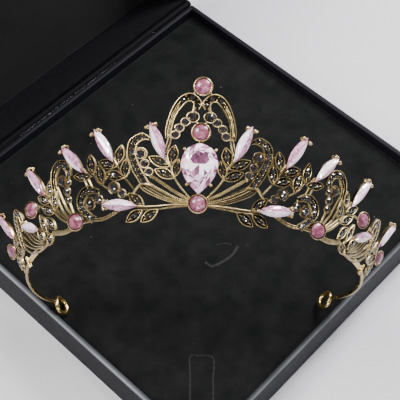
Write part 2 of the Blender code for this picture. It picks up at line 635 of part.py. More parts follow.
def build_stones(place):
    def put(name, piece):
        add_object(name, mesh_from(name, piece, lambda co: place(bent(co))))
    middle = (0.0, PEAR_MIDDLE)
    put("pear_stone", gem(true_size(pear(middle, PEAR_LONG, PEAR_WIDE, 16), middle),
                          STONE_RISE + 0.0004, 0.0016, 0.00125, 0.52, 0.3))
    for name, up in MIDDLE_ROUNDS:
        spot = (0.0, up * CROWN_HEIGHT)
        put("round_stone_" + name, gem(true_size(disc(spot, ROUND_STONE, 11), spot),
                                       0.0011, 0.0009, 0.0007, 0.55, 0.5))
    for side, flip in (("left", True), ("right", False)):
        rows = []
        for row in NAVETTES:
            outline = navette_outline(row)[0]
            rows.append(("navette_%s_%s" % (row[0], side), gem(outline, STONE_RISE, 0.0011, 0.0008, 0.5, 0.35)))
        for name, along, up in ROUNDS:
            outline = true_size(disc(sized(along, up), ROUND_STONE, 11), sized(along, up))
            rows.append(("round_stone_%s_%s" % (name, side), gem(outline, 0.0011, 0.0009, 0.0007, 0.55, 0.5)))
        for name, along, up in BLACKS:
            outline = true_size(disc(sized(along, up), BLACK_STONE, 8, 0.2), sized(along, up))
            rows.append(("black_stone_%s_%s" % (name, side), gem(outline, 0.0010, 0.0006, 0.0006, 0.5, 0.5)))
        for name, piece in rows:
            put(name, mirrored(piece) if flip else piece)


def block(low, high):
    x0, y0, z0 = low
    x1, y1, z1 = high
    outline = [Vector((x0, y0)), Vector((x1, y0)), Vector((x1, y1)), Vector((x0, y1))]
    return plate(outline, z0, z1)


def tray(half, deep, wall, bottom, floor, top):
    def outline(less):
        x, y = half - less, deep - less
        return [Vector((-x, -y)), Vector((x, -y)), Vector((x, y)), Vector((-x, y))]
    return loft([outline_ring(outline(0.0), bottom), outline_ring(outline(0.0), top),
                 outline_ring(outline(wall), top), outline_ring(outline(wall), floor)])


def knuckle(x0, x1, axis_y, axis_z, leaf_low, leaf_high):
    # hinge barrel along x with a flat leaf beside it
    def turned(piece):
        verts, faces = piece
        return [Vector((v[2], axis_y + v[0], axis_z + v[1])) for v in verts], faces
    barrel = turned(tube_ring((0.0, 0.0), HINGE_RADIUS, PIN_RADIUS + FIT_GAP, x0, x1, 12))
    leaf = block((x0 + 0.0002, axis_y - HINGE_RADIUS, axis_z + leaf_low),
                 (x1 - 0.0002, axis_y - HINGE_RADIUS + 0.0005, axis_z + leaf_high))
    return [leaf, barrel]


def build_box():
    half, deep = BOX_WIDE * 0.5, BOX_DEEP * 0.5
    inner, inner_deep = half - BOX_WALL - FIT_GAP, deep - BOX_WALL - FIT_GAP
    axis = Vector((0.0, deep + FIT_GAP + HINGE_RADIUS, BOX_HEIGHT))
    add_object("box_base", mesh_from("box_base", tray(half, deep, BOX_WALL, 0.0, BOX_FLOOR, BOX_HEIGHT)))
    add_object("box_insert", mesh_from("box_insert", block(
        (-inner, -inner_deep, BOX_FLOOR + FIT_GAP), (inner, inner_deep, BOX_HEIGHT - INSERT_DEPTH))))
    swing = (Matrix.Translation(axis) @ Matrix.Rotation(math.radians(-LID_OPEN), 4, "X")
             @ Matrix.Translation(-axis))
    top = BOX_HEIGHT + LID_DEPTH
    verts, faces = tray(half, deep, BOX_WALL, 0.0, BOX_FLOOR, LID_DEPTH - FIT_GAP)
    shell = ([swing @ Vector((v.x, -v.y, top - v.z)) for v in verts], faces)
    add_object("lid_shell", mesh_from("lid_shell", shell))
    pad = block((-inner, -inner_deep, top - BOX_FLOOR - LID_PAD), (inner, inner_deep, top - BOX_FLOOR - FIT_GAP))
    add_object("lid_pad", mesh_from("lid_pad", ([swing @ v for v in pad[0]], pad[1])))
    for name, x0, x1 in (("left", -HINGE_END, -HINGE_MID), ("right", HINGE_MID, HINGE_END)):
        joined("hinge_base_" + name, [mesh_from("leaf", p) for p in
               knuckle(x0, x1, axis.y, axis.z, -HINGE_LEAF, 0.0)])
    wing = joined("hinge_lid", [mesh_from("leaf", p) for p in
                  knuckle(FIT_GAP - HINGE_MID, HINGE_MID - FIT_GAP, axis.y, axis.z, 0.0, HINGE_LEAF)])
    for v in wing.data.vertices:
        v.co = swing @ v.co
    pin = plate(disc((0.0, 0.0), PIN_RADIUS, 10), -PIN_HALF, PIN_HALF)
    add_object("hinge_pin", mesh_from("hinge_pin", (
        [Vector((v[2], axis.y + v[0], axis.z + v[1])) for v in pin[0]], pin[1])))


def main():
    clear_scene()
    frame, spot, loops = tiara_place()
    lift = Vector((0.0, 0.0, BOX_HEIGHT - INSERT_DEPTH + LOOP_RISE))

    def place(co):
        return frame @ co - loops + spot + lift

    build_metal(place)
    build_stones(place)
    build_box()


main()
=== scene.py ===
import math
import bpy
import numpy as np
from mathutils import Matrix, Vector


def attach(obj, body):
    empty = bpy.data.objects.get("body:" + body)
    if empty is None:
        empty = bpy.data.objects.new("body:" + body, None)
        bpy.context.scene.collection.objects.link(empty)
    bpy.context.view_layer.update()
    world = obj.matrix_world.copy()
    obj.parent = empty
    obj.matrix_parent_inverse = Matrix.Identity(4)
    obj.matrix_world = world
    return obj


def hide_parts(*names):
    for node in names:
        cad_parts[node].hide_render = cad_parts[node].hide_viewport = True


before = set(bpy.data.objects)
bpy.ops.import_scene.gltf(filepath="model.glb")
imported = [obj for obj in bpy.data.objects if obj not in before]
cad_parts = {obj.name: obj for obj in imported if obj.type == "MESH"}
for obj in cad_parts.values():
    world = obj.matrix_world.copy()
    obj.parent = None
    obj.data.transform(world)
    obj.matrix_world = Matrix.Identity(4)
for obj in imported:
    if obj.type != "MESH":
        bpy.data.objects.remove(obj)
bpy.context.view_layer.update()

# The band's curve and the tiara's place in the box, as in the solids. Metres, +Z up.
BAND_HALF = 0.120
BAND_BEND = 17.3673
BAND_EASE = -2144.05
BAND_CLOSE = 141844.0
LEAN = 0.3256
LEAN_SIDES = 16.21
TWIST = 0.18214
BAND_TURN = 80.7
CORNER_TURN = 49.30
LOOPS_AT = (0.0021, -0.0586)
LOOP_RISE = 0.0043
LOOP_LINE_Y = 0.11215
LOOP_LINE_X = 0.00085
WIRE_END = 0.1530
LOOP_RADIUS = 0.0046
LOOP_LEAN = 0.26
INSERT_TOP = 0.0197
BOX_WIDE = 0.1851
BOX_DEEP = 0.1794
BOX_WALL = 0.0026
BOX_HEIGHT = 0.0240
BOX_FLOOR = 0.0020
LID_DEPTH = 0.0200
LID_PAD = 0.0022
LID_OPEN = 95.0
HINGE_RADIUS = 0.0015
HINGE_END = 0.0620
PIN_HALF = 0.0630
FIT_GAP = 0.0003
HINGE_Y = BOX_DEEP * 0.5 + FIT_GAP + HINGE_RADIUS

# Sizes in the flat pattern, in millimetres
CROWN = 47.5
BACK = -0.6                # back face of the pierced metal
NAVETTE_LONG = 15.2
NAVETTE_WIDE = 4.3
ROUND_STONE = 2.9          # radius
BLACK_STONE = 1.5          # radius
PEAR_LONG = 18.2
PEAR_WIDE = 13.0
PEAR_MIDDLE = 15.2
PEAR_ROUND = 0.40
GEM_OUT = 0.46             # girdle of the small stones over the pattern's plane
LOOP_UP = 0.8
SIDE_TURN = 20.0           # degrees that the round stones on the sides and the loops face the front
WIRE_STEPS = {"rope": 0.14, "bead": 0.13, "plain": 0.6, "strap": 0.7}
ROPE_PITCH = 1.25
BEAD_PITCH = 0.75
PLAIN_WEAR = 0.8

# The flat pattern of one side in millimetres: along the band from the middle, height over the band line.
LEAVES = (  # foot along, foot up, tip along, tip up, width
    (9.7, 15.0, 8.1, 22.2, 3.7), (9.8, 14.2, 17.2, 18.4, 3.7), (8.2, 10.1, 15.3, 13.6, 3.8),
    (8.4, 10.3, 6.9, 17.2, 3.2), (19.6, 0.3, 25.4, 6.0, 3.8), (20.2, -0.7, 27.4, -4.5, 3.8),
    (14.3, -1.0, 21.4, -5.2, 3.8), (28.3, 17.2, 26.2, 24.1, 3.6), (28.6, 16.4, 36.0, 19.7, 3.7),
    (26.4, 11.8, 33.8, 14.9, 3.8), (26.4, 11.4, 24.9, 18.9, 3.6), (39.0, 15.5, 38.8, 23.3, 3.6),
    (39.6, 15.0, 47.8, 17.2, 3.6), (35.3, 11.0, 36.2, 18.7, 3.7), (61.8, 8.0, 58.3, 15.6, 3.6),
    (62.8, 14.0, 60.3, 20.2, 3.3), (63.6, 12.3, 70.4, 17.0, 3.8), (62.6, 7.5, 69.4, 12.5, 3.7),
    (71.0, 2.6, 72.6, 10.8, 3.6), (64.0, 1.4, 68.9, 8.1, 4.0), (74.3, 0.4, 78.2, 6.2, 3.8),
    (67.0, 0.9, 73.6, -2.0, 3.8), (100.6, 5.6, 106.6, 9.2, 3.4), (101.0, 10.8, 107.4, 12.2, 3.2),
    (112.0, 9.4, 116.8, 4.0, 3.6), (108.4, 6.0, 112.6, 0.6, 3.4),
)
NAVETTES = (  # name, foot along, foot up, tip along, tip up
    ("1", 11.2, 16.6, 16.2, 31.0), ("2", 29.3, 18.2, 35.6, 32.0), ("3", 42.0, 17.2, 50.2, 29.7),
    ("4", 21.6, 0.7, 36.8, 3.6), ("5", 64.6, 15.4, 70.8, 29.3), ("6", 75.0, 5.4, 88.6, 12.6),
    ("7", 102.4, 13.2, 107.6, 27.2),
)
ROUNDS = (("1", 50.9, 0.5), ("2", 77.0, 14.4), ("3", 116.4, 13.6))  # name, along, up
MIDDLE_ROUNDS = (("low", 0.0168), ("middle", 0.5642), ("top", 0.9179))  # name, up as a share of CROWN
BLACKS = (  # name, along, up, where the open ring round it starts and ends, degrees
    ("arch", 2.65, 32.4, -70, 150), ("curl_1", 19.8, 19.7, 0, 250), ("scroll", 30.8, 8.8, -60, 200),
    ("curl_2", 41.9, 5.3, -150, 120), ("curl_3", 53.7, 17.2, 20, 260),
)
RINGS = (  # along, up, outside radius
    (4.9, 30.6, 1.6), (6.8, 28.4, 1.6), (8.1, 25.9, 1.6), (18.7, 16.0, 1.7), (17.3, 12.9, 1.6),
    (28.0, 6.3, 1.7), (37.9, 6.0, 1.75), (51.0, 16.0, 1.35), (52.5, 13.0, 1.7), (52.7, 9.7, 1.55),
)
RIBBONS = (  # name, outer edge, inner edge, share of the length where the stones start
    ("arch",
     ((11.3, 24.8), (11.3, 27.8), (10.5, 31.4), (9.4, 35.0), (8.0, 37.9), (6.5, 39.9), (4.7, 41.1),
      (3.2, 41.2), (2.0, 40.5), (0.8, 39.2), (0.05, 37.8), (0.1, 36.4), (0.8, 35.2)),
     ((9.3, 24.8), (9.1, 27.7), (8.4, 31.2), (7.2, 34.0), (5.9, 36.1), (5.0, 37.3), (4.3, 38.0),
      (3.7, 38.1), (3.2, 37.9), (2.85, 37.4), (2.65, 36.8), (2.65, 36.2), (2.8, 35.5)), 0.6),
    ("curl_1",
     ((16.2, 25.4), (17.7, 26.9), (19.4, 27.4), (22.2, 26.3), (23.7, 24.7), (24.4, 22.2), (24.5, 19.6),
      (23.9, 16.9), (23.1, 13.8), (21.9, 11.4), (20.8, 9.0)),
     ((16.6, 24.3), (17.8, 24.7), (19.3, 24.4), (20.5, 23.6), (21.2, 22.0), (21.5, 19.9), (21.1, 17.7),
      (20.2, 15.0), (19.0, 12.1), (18.0, 10.2), (17.2, 8.6)), 0.04),
    ("curl_2",
     ((37.4, 9.6), (39.8, 11.4), (42.1, 12.1), (44.2, 11.9), (46.2, 10.9), (47.9, 9.0), (48.7, 6.7),
      (48.2, 4.2), (46.4, 1.8), (44.6, -0.3), (43.0, -1.9)),
     ((38.0, 8.0), (40.2, 8.7), (42.2, 8.8), (43.6, 8.0), (44.8, 6.9), (45.3, 5.6), (44.9, 4.2),
      (43.8, 2.8), (42.6, 1.6), (41.4, 0.6), (40.2, 0.0)), 0.03),
    ("curl_3",
     ((60.4, 15.0), (60.2, 17.6), (59.6, 20.3), (58.4, 22.8), (56.6, 24.6), (54.1, 25.6), (51.8, 25.3),
      (50.0, 24.1), (48.9, 22.2), (48.4, 20.1), (48.7, 18.0)),
     ((57.2, 15.6), (57.0, 17.6), (56.6, 19.5), (55.7, 21.1), (54.5, 22.1), (53.3, 22.4), (52.3, 22.0),
      (51.6, 21.2), (51.2, 20.2), (51.1, 19.2), (51.1, 18.4)), 0.42),
    ("curl_4",
     ((99.6, 5.4), (98.8, 8.5), (98.0, 12.0), (97.0, 15.6), (95.0, 18.8), (92.4, 20.7), (89.8, 20.4),
      (88.0, 18.4), (87.3, 16.0), (87.4, 14.0), (88.0, 12.2)),
     ((95.8, 5.0), (95.0, 8.4), (94.4, 11.4), (93.8, 14.4), (92.9, 16.6), (91.9, 17.7), (91.0, 17.6),
      (90.4, 16.8), (90.2, 15.6), (90.2, 14.4), (90.4, 13.0)), 0.0),
)
WIRES = (  # kind, width, points
    ("bead", 0.55, ((17.6, 9.2), (15.0, 7.2), (12.0, 5.4), (8.4, 3.3), (3.4, 1.6))),
    ("rope", 0.6, ((17.4, 8.0), (14.6, 6.2), (11.4, 4.4), (8.2, 2.8), (3.4, 1.25))),
    ("rope", 0.6, ((18.6, 7.7), (15.0, 5.3), (11.6, 3.4), (8.2, 2.1), (3.2, 0.9))),
    ("bead", 0.55, ((20.9, 8.2), (19.6, 6.4), (16.2, 4.2), (11.4, 2.0), (7.4, 0.95), (3.2, 0.55))),
    ("plain", 0.4, ((19.6, 7.4), (15.8, 4.8), (11.6, 2.7), (8.0, 1.5), (3.2, 0.75))),
    ("rope", 0.62, ((16.9, 11.9), (12.6, 8.6), (8.0, 5.3), (2.6, 2.15))),
    ("rope", 0.62, ((16.9, 11.2), (12.6, 7.9), (8.0, 4.6), (2.8, 1.75))),
    ("plain", 0.75, ((20.8, 0.4), (15.6, 0.2), (9.0, 0.45), (3.0, 0.45))),
    ("rope", 0.66, ((20.6, -0.6), (15.6, -0.95), (9.0, -0.45), (3.0, 0.0))),
    ("plain", 0.75, ((11.2, 17.0), (9.6, 14.4), (9.0, 11.4), (6.4, 6.9), (2.4, 2.2))),
    ("rope", 0.62, ((10.3, 25.4), (10.9, 23.0), (12.0, 19.6))),
    ("rope", 0.62, ((9.5, 25.0), (10.0, 22.6), (11.2, 19.2))),
    ("plain", 1.0, ((23.9, 5.4), (20.6, 8.6), (16.6, 8.0))),
    ("rope", 0.75, ((26.6, 12.0), (23.0, 6.7))),
    ("plain", 1.0, ((24.6, 21.6), (24.9, 17.8))),
    ("rope", 0.7, ((39.2, 16.4), (37.2, 12.2), (33.9, 9.2), (31.8, 7.8))),
    ("rope", 0.65, ((29.0, 18.8), (28.0, 14.6), (26.2, 11.6))),
    ("rope", 0.65, ((29.4, 18.4), (32.6, 14.0), (35.8, 11.2))),
    ("plain", 0.8, ((29.6, 7.6), (26.0, 5.4))),
    ("plain", 0.8, ((43.2, 14.8), (42.2, 11.4))),
    ("plain", 0.8, ((41.4, 14.6), (40.2, 11.0))),
    ("rope", 0.65, ((42.5, -0.5), (38.0, -1.1), (33.6, -0.5), (30.0, 0.9))),
    ("rope", 0.65, ((42.9, -1.3), (38.0, -1.9), (33.6, -1.2), (29.6, 0.2))),
    ("plain", 1.3, ((43.0, -0.8), (47.5, -0.6))),
    ("plain", 0.9, ((59.6, 16.0), (58.6, 10.6), (56.8, 5.8), (53.2, 1.8))),
    ("plain", 0.9, ((57.6, 16.4), (56.4, 12.0), (55.0, 7.4), (52.2, 2.6))),
    ("plain", 1.1, ((52.6, 8.6), (51.6, 3.4))),
    ("plain", 1.2, ((62.6, 8.2), (59.0, 4.1), (54.2, 0.8))),
    ("plain", 0.7, ((61.6, 9.4), (57.8, 5.0), (54.0, 1.8))),
    ("strap", 2.0, ((67.4, 0.9), (60.0, -1.0), (53.2, -1.2))),
    ("rope", 0.7, ((62.8, 7.9), (63.4, 11.0), (63.0, 13.6), (64.8, 15.9))),
    ("plain", 1.1, ((74.0, 13.4), (70.6, 13.4), (69.0, 11.9))),
    ("rope", 0.7, ((64.2, 1.2), (69.0, 1.0), (74.8, 0.8))),
    ("plain", 1.1, ((76.6, 6.2), (73.0, 4.4), (70.0, 1.2))),
    ("plain", 0.75, ((84.0, 9.4), (80.6, 4.6), (76.4, 1.0))),
    ("plain", 0.75, ((87.0, 10.4), (82.2, 3.8), (76.0, 0.2))),
    ("plain", 0.75, ((89.6, 10.6), (84.0, 3.2), (75.6, -0.5))),
    ("plain", 0.75, ((92.8, 9.4), (86.2, 2.6), (77.6, -0.9))),
    ("plain", 0.75, ((95.6, 7.4), (88.0, 2.0), (80.0, -0.8), (74.0, -1.6))),
    ("plain", 1.0, ((97.4, 6.2), (90.0, 0.6), (81.8, -1.5), (72.0, -1.6))),
    ("plain", 1.0, ((88.4, 13.6), (89.8, 9.4))),
    ("plain", 1.1, ((98.0, 7.0), (102.6, 12.4), (103.6, 15.0))),
    ("plain", 1.1, ((97.6, 6.0), (101.8, 5.0), (109.0, 6.4), (114.8, 11.8))),
    ("plain", 1.1, ((105.6, 14.4), (110.4, 12.0), (114.2, 11.8))),
    ("plain", 1.1, ((3.0, 33.6), (2.0, 36.0))),
    ("plain", 0.5, ((5.6, 29.8), (6.1, 29.2))),
    ("plain", 0.5, ((7.2, 27.5), (7.6, 26.9))),
    ("plain", 0.6, ((18.9, 17.2), (19.4, 18.4))),
    ("plain", 0.5, ((18.2, 14.9), (17.8, 14.1))),
    ("plain", 0.8, ((16.9, 11.8), (16.8, 10.6))),
    ("plain", 1.0, ((43.2, 5.3), (45.8, 5.7))),
    ("plain", 0.8, ((40.6, 5.6), (38.9, 5.9))),
    ("plain", 0.8, ((37.9, 7.2), (37.8, 8.8))),
    ("plain", 1.0, ((55.0, 17.4), (57.6, 17.8))),
    ("plain", 0.8, ((49.9, 18.6), (50.6, 16.9))),
    ("plain", 0.8, ((51.5, 15.2), (51.9, 14.2))),
    ("plain", 0.8, ((52.6, 11.8), (52.6, 10.9))),
)
MIDDLE_WIRES = (  # kind, width, points, across the middle
    ("plain", 1.5, ((0.0, 20.8), (0.0, 23.8))),
    ("plain", 1.5, ((0.0, 3.8), (0.0, 6.6))),
)


def heading(along):
    return BAND_BEND * along + BAND_EASE * along ** 3 / 3.0 + BAND_CLOSE * along ** 5 / 5.0


def running_sum(values, step):
    total = np.concatenate([[0.0], np.cumsum((values[1:] + values[:-1]) * 0.5 * step)])
    return total - total[len(total) // 2]


ALONG = np.linspace(-0.18, 0.18, 7201)
ALONG_X = running_sum(np.cos(heading(ALONG)), ALONG[1] - ALONG[0])
ALONG_Y = running_sum(np.sin(heading(ALONG)), ALONG[1] - ALONG[0])


def tiara_frame():
    turn, corner = math.radians(BAND_TURN), math.radians(CORNER_TURN)
    right = np.array([math.cos(corner), -math.sin(corner), 0.0])
    ahead = np.array([math.sin(corner), math.cos(corner), 0.0])
    up = np.array([0.0, 0.0, 1.0])
    back = ahead * math.cos(turn) - up * math.sin(turn)
    crown = ahead * math.sin(turn) + up * math.cos(turn)
    axes = np.stack([right, back, crown], 1)
    loops = axes @ np.array([LOOP_LINE_X, LOOP_LINE_Y, 0.0])
    return axes, right * LOOPS_AT[0] + ahead * LOOPS_AT[1] - loops + up * (INSERT_TOP + LOOP_RISE)


AXES, SHIFT = tiara_frame()


def lean_at(along):
    # the band leans more toward its sides, the end wires and loops lean back
    past = np.clip((np.abs(along) - BAND_HALF) / (WIRE_END - LOOP_RADIUS - BAND_HALF), 0.0, 1.0)
    share = past * past * (3.0 - 2.0 * past)
    return (LEAN + LEAN_SIDES * along * along) * (1.0 - share) + LOOP_LEAN * share


def bend(flat):
    # flat pattern points (along, up, out), in millimetres, to the box's frame in metres
    along, up, out = (flat * 0.001).T
    angle = heading(along)
    lean = lean_at(along)
    reach = up * np.sin(lean) + out * np.cos(lean)
    rise = up * np.cos(lean) - out * np.sin(lean)
    local = np.stack([np.interp(along, ALONG, ALONG_X) + reach * np.sin(angle),
                      np.interp(along, ALONG, ALONG_Y) - reach * np.cos(angle),
                      rise + TWIST * along * np.abs(along)], 1)
    return local @ AXES.T + SHIFT


def flipped(verts, faces, mirror):
    # the left side is the mirror of the right one
    if not mirror:
        return verts, faces
    return verts * np.array([-1.0, 1.0, 1.0]), [face[::-1] for face in faces]


class Heap:
    # vertices, faces and wear of one piece
    def __init__(self):
        self.verts, self.faces, self.wear = [], [], []
        self.count = 0

    def add(self, verts, faces, wear=1.0):
        self.verts.append(verts)
        self.faces.extend([tuple(int(i) + self.count for i in face) for face in faces])
        self.wear.append(np.broadcast_to(np.asarray(wear, float), (len(verts),)))
        self.count += len(verts)

    def both(self, verts, faces, wear=1.0, sides=(1, -1)):
        for side in sides:
            self.add(*flipped(verts, faces, side < 0), wear)


def grid_faces(rows, count, ends=True):
    faces = []
    for r in range(rows - 1):
        a, b = r * count, (r + 1) * count
        for i in range(count):
            j = (i + 1) % count
            faces.append((a + i, a + j, b + j, b + i))
    if ends:
        faces.append(tuple(range(count))[::-1])
        faces.append(tuple(range((rows - 1) * count, rows * count)))
    return faces


def net_faces(count):
    return [(r * count + c, r * count + c + 1, (r + 1) * count + c + 1, (r + 1) * count + c)
            for r in range(count - 1) for c in range(count - 1)]


def evenly(row, step):
    # even points along a row of points, and how far along each one is
    lengths = np.concatenate([[0.0], np.cumsum(np.linalg.norm(np.diff(row, axis=0), axis=1))])
    at = np.linspace(0, lengths[-1], max(2, int(round(lengths[-1] / step)) + 1))
    return np.stack([np.interp(at, lengths, row[:, k]) for k in range(row.shape[1])], 1), at


def curved(points, step):
    # even points on a smooth line through the given ones
    row = np.asarray(points, float)
    if len(row) > 2:
        padded = np.vstack([2 * row[0] - row[1], row, 2 * row[-1] - row[-2]])
        fine = []
        for i in range(1, len(padded) - 2):
            p0, p1, p2, p3 = padded[i - 1:i + 3]
            t = np.linspace(0, 1, 24, endpoint=False)[:, None]
            fine.append(0.5 * (2 * p1 + (p2 - p0) * t + (2 * p0 - 5 * p1 + 4 * p2 - p3) * t * t
                               + (3 * p1 - p0 - 3 * p2 + p3) * t ** 3))
        row = np.vstack(fine + [row[-1:]])
    return evenly(row, step)


def sides_of(row, closed=False):
    # unit vectors to the left of a row of flat points
    ahead = np.roll(row, -1, 0) - np.roll(row, 1, 0) if closed else np.gradient(row, axis=0)
    ahead /= np.maximum(1e-9, np.linalg.norm(ahead, axis=1, keepdims=True))
    return np.stack([-ahead[:, 1], ahead[:, 0]], 1)


def tube(path, out, shape, closed=False):
    # sweeps a section along flat points; shape has rows of (side, out) for each point of the path
    count = shape.shape[1]
    verts = np.zeros((len(path), count, 3))
    verts[:, :, :2] = path[:, None] + sides_of(path, closed)[:, None] * shape[:, :, :1]
    verts[:, :, 2] = np.broadcast_to(out, (len(path),))[:, None] + shape[:, :, 1]
    faces = grid_faces(len(path), count, not closed)
    if closed:
        a = (len(path) - 1) * count
        faces += [(a + i, a + (i + 1) % count, (i + 1) % count, i) for i in range(count)]
    return verts.reshape(-1, 3), faces


def rope_shape(at, radius, pitch):
    # two strands laid round each other
    angle = np.arange(8) * math.tau / 8
    size = 0.55 + 0.45 * np.abs(np.cos(angle)) ** 0.8
    turn = at[:, None] * math.tau / pitch + angle[None, :]
    shape = np.stack([np.cos(turn) * size, np.sin(turn) * size], 2) * radius
    return shape, np.tile(np.abs(np.cos(angle)), len(at))


def bead_shape(at, radius, pitch):
    # a row of small grains
    swell = np.abs(np.sin(math.pi * at / pitch))
    size = (0.58 + 0.42 * swell ** 0.6) * radius
    return size[:, None, None] * circle((0.0, 0.0), 1.0, 6), np.repeat(0.30 + 0.70 * swell, 6)


def plain_shape(path, wide, thick, sides=10):
    section = circle((0.0, 0.0), 1.0, sides)
    section = np.sign(section) * np.abs(section) ** 0.8 * np.array([wide, thick])
    return np.broadcast_to(section, (len(path), sides, 2))


def wire(heap, kind, width, points, out=-0.05, sides=(1, -1)):
    path, at = curved(points, WIRE_STEPS[kind])
    if kind == "rope":
        shape, wear = rope_shape(at, width * 0.54, ROPE_PITCH)
    elif kind == "bead":
        shape, wear = bead_shape(at, width * 0.5, BEAD_PITCH)
    elif kind == "plain":
        shape, wear = plain_shape(path, width * 0.5, 0.5), PLAIN_WEAR
    else:
        shape, wear = plain_shape(path, width * 0.5, 0.42, 12), PLAIN_WEAR
    heap.both(*tube(path, out, shape), wear, sides)


def lens(foot, tip, width, count):
    # pointed outline between two points
    axis = tip - foot
    side = np.array([-axis[1], axis[0]]) / np.linalg.norm(axis) * width * 0.5
    share = np.linspace(0, 1, count + 2)[:, None]
    edge = np.sin(math.pi * share) ** 0.85
    one = foot + axis * share - side * edge
    two = foot + axis * share + side * edge
    return np.vstack([one, two[-2:0:-1]])


def inset(outline, amount):
    # outline moved inward by an amount, the outline running anticlockwise
    ahead = np.roll(outline, -1, 0) - outline
    ahead /= np.linalg.norm(ahead, axis=1, keepdims=True)
    side = np.stack([-ahead[:, 1], ahead[:, 0]], 1)
    both = side + np.roll(side, 1, 0)
    both /= np.maximum(1e-9, np.linalg.norm(both, axis=1, keepdims=True))
    reach = 1.0 / np.maximum(0.45, (both * side).sum(1))
    return outline + both * (amount * reach)[:, None]


def stack(levels):
    # closed body from outlines of the same count; levels are (outline, out)
    count = len(levels[0][0])
    verts = np.vstack([np.column_stack([outline, np.full(count, out)]) for outline, out in levels])
    return verts, grid_faces(len(levels), count)


def circle(middle, radius, count, start=0.0):
    angle = start + np.arange(count) * math.tau / count
    return np.stack([middle[0] + radius * np.cos(angle), middle[1] + radius * np.sin(angle)], 1)


def true_size(points, middle):
    # the bent pattern is longer at the top than at the band, so fixed shapes are drawn narrower there
    along, up = middle[0] * 0.001, middle[1] * 0.001
    turn = BAND_BEND + BAND_EASE * along ** 2 + BAND_CLOSE * along ** 4
    share = 1.0 / (1.0 + up * math.sin(LEAN + LEAN_SIDES * along ** 2) * turn)
    moved = np.array(points, float)
    moved[:, 0] = middle[0] + (moved[:, 0] - middle[0]) * share
    return moved


def tipped(points, spot, degrees):
    # turned a little toward the front
    angle = math.radians(degrees)
    moved = np.array(points, float)
    side = points[:, 0] - spot[0]
    moved[:, 0] = spot[0] + side * math.cos(angle) - points[:, 2] * math.sin(angle)
    moved[:, 2] = side * math.sin(angle) + points[:, 2] * math.cos(angle)
    return moved


def ball(heap, spot, out, radius, post=0.0, sides=(1, -1)):
    # grain of metal, on a short post when one is asked for
    levels = []
    if post:
        levels = [(circle(spot, radius * 0.55, 10), out - post),
                  (circle(spot, radius * 0.6, 10), out - radius * 0.9)]
    for k in range(1 if post else 0, 7):
        a = math.pi * (k / 6.0 - 0.5)
        levels.append((circle(spot, max(0.02, radius * math.cos(a)), 10), out + radius * math.sin(a)))
    heap.both(*stack(levels), 1.0, sides)


def seat(heap, outline, rows, sides=(1, -1), spot=(0.0, 0.0), turn=0.0):
    # setting from rows of (inward from the outline, out, wear)
    verts, faces = stack([(inset(outline, inward), out) for inward, out, _ in rows])
    heap.both(tipped(verts, spot, turn), faces, np.repeat([wear for _, _, wear in rows], len(outline)), sides)


def cup(heap, outline, rim, floor, front):
    # seat with a closed back, a rounded rim and a sunk floor
    seat(heap, outline, ((0.12, BACK, 0.4), (0.0, BACK + 0.12, 0.6), (0.0, front - 0.12, 0.7),
                         (rim * 0.3, front, 1.0), (rim * 0.75, front, 0.9), (rim, front - 0.12, 0.2),
                         (rim, floor, 0.0)))


def closed_beads(heap, outline, out, radius, pitch, sides=(1, -1)):
    # grains along a closed outline
    path, at = evenly(np.vstack([outline, outline[:1]]), WIRE_STEPS["bead"])
    grains = max(3, round(at[-1] / pitch))
    shape, wear = bead_shape(at[:-1], radius, at[-1] / grains)
    heap.both(*tube(path[:-1], out, shape, True), wear, sides)


def small_gem(spot, radius, girdle, start):
    # little cut stone: eight-sided table, star and girdle facets
    count = 8
    outlines = ((circle(spot, radius * 0.9, count, start), girdle - 0.3),
                (circle(spot, radius, count, start), girdle),
                (circle(spot, radius * 0.52, count, start + math.pi / count), girdle + radius * 0.42))
    faces = [tuple(range(count))[::-1]]
    for i in range(count):
        j = (i + 1) % count
        faces.append((i, j, count + j, count + i))
        faces.append((count + i, count + j, 2 * count + i))
        faces.append((count + j, 2 * count + j, 2 * count + i))
    faces.append(tuple(range(2 * count, 3 * count)))
    return true_size(stack(outlines)[0], spot), faces


def mesh_object(name, verts, faces, smooth=False, **layers):
    # layers are values for the materials: wear on the vertices, which on the base board also carries a
    # painted edge highlight, and tone on the faces, which on the clear stones is a painted reflection
    mesh = bpy.data.meshes.new(name)
    mesh.from_pydata([tuple(v) for v in verts], [], faces)
    mesh.polygons.foreach_set("use_smooth", np.full(len(mesh.polygons), smooth))
    for key, values in layers.items():
        layer = mesh.attributes.new(key, "FLOAT", "POINT" if key == "wear" else "FACE")
        layer.data.foreach_set("value", np.asarray(values, np.float32))
    mesh.validate()
    mesh.update()
    thing = bpy.data.objects.new(name, mesh)
    bpy.context.scene.collection.objects.link(thing)
    return thing


def piece(name, verts, faces, mat, body, slot, stands_for=(), sharp=None, **layers):
    # one piece of the object; edges past the angle sharp stay sharp, and all do where none is given
    thing = mesh_object(name, verts, faces, sharp is not None, **layers)
    thing.data.materials.append(mat)
    if sharp is not None:
        thing.data.set_sharp_from_angle(angle=math.radians(sharp))
    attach(thing, body)
    if stands_for:
        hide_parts(*stands_for)
    return thing


def heap_piece(name, heap, mat, slot="antique_gold", stands_for=(), sharp=50.0):
    piece(name, bend(np.vstack(heap.verts)), heap.faces, mat, "box", slot, stands_for, sharp,
          wear=np.concatenate(heap.wear))


def material(name, **values):
    made = bpy.data.materials.new(name)
    made.use_nodes = True
    shader = made.node_tree.nodes["Principled BSDF"]
    for key, value in values.items():
        shader.inputs[key.replace("_", " ")].default_value = value
    return made, made.node_tree, shader


def node(tree, kind, links=(), **values):
    made = tree.nodes.new(kind)
    for key, value in values.items():
        if key in made.inputs:
            made.inputs[key].default_value = value
        else:
            setattr(made, key, value)
    for socket, source in links:
        tree.links.new(source, made.inputs[socket])
    return made


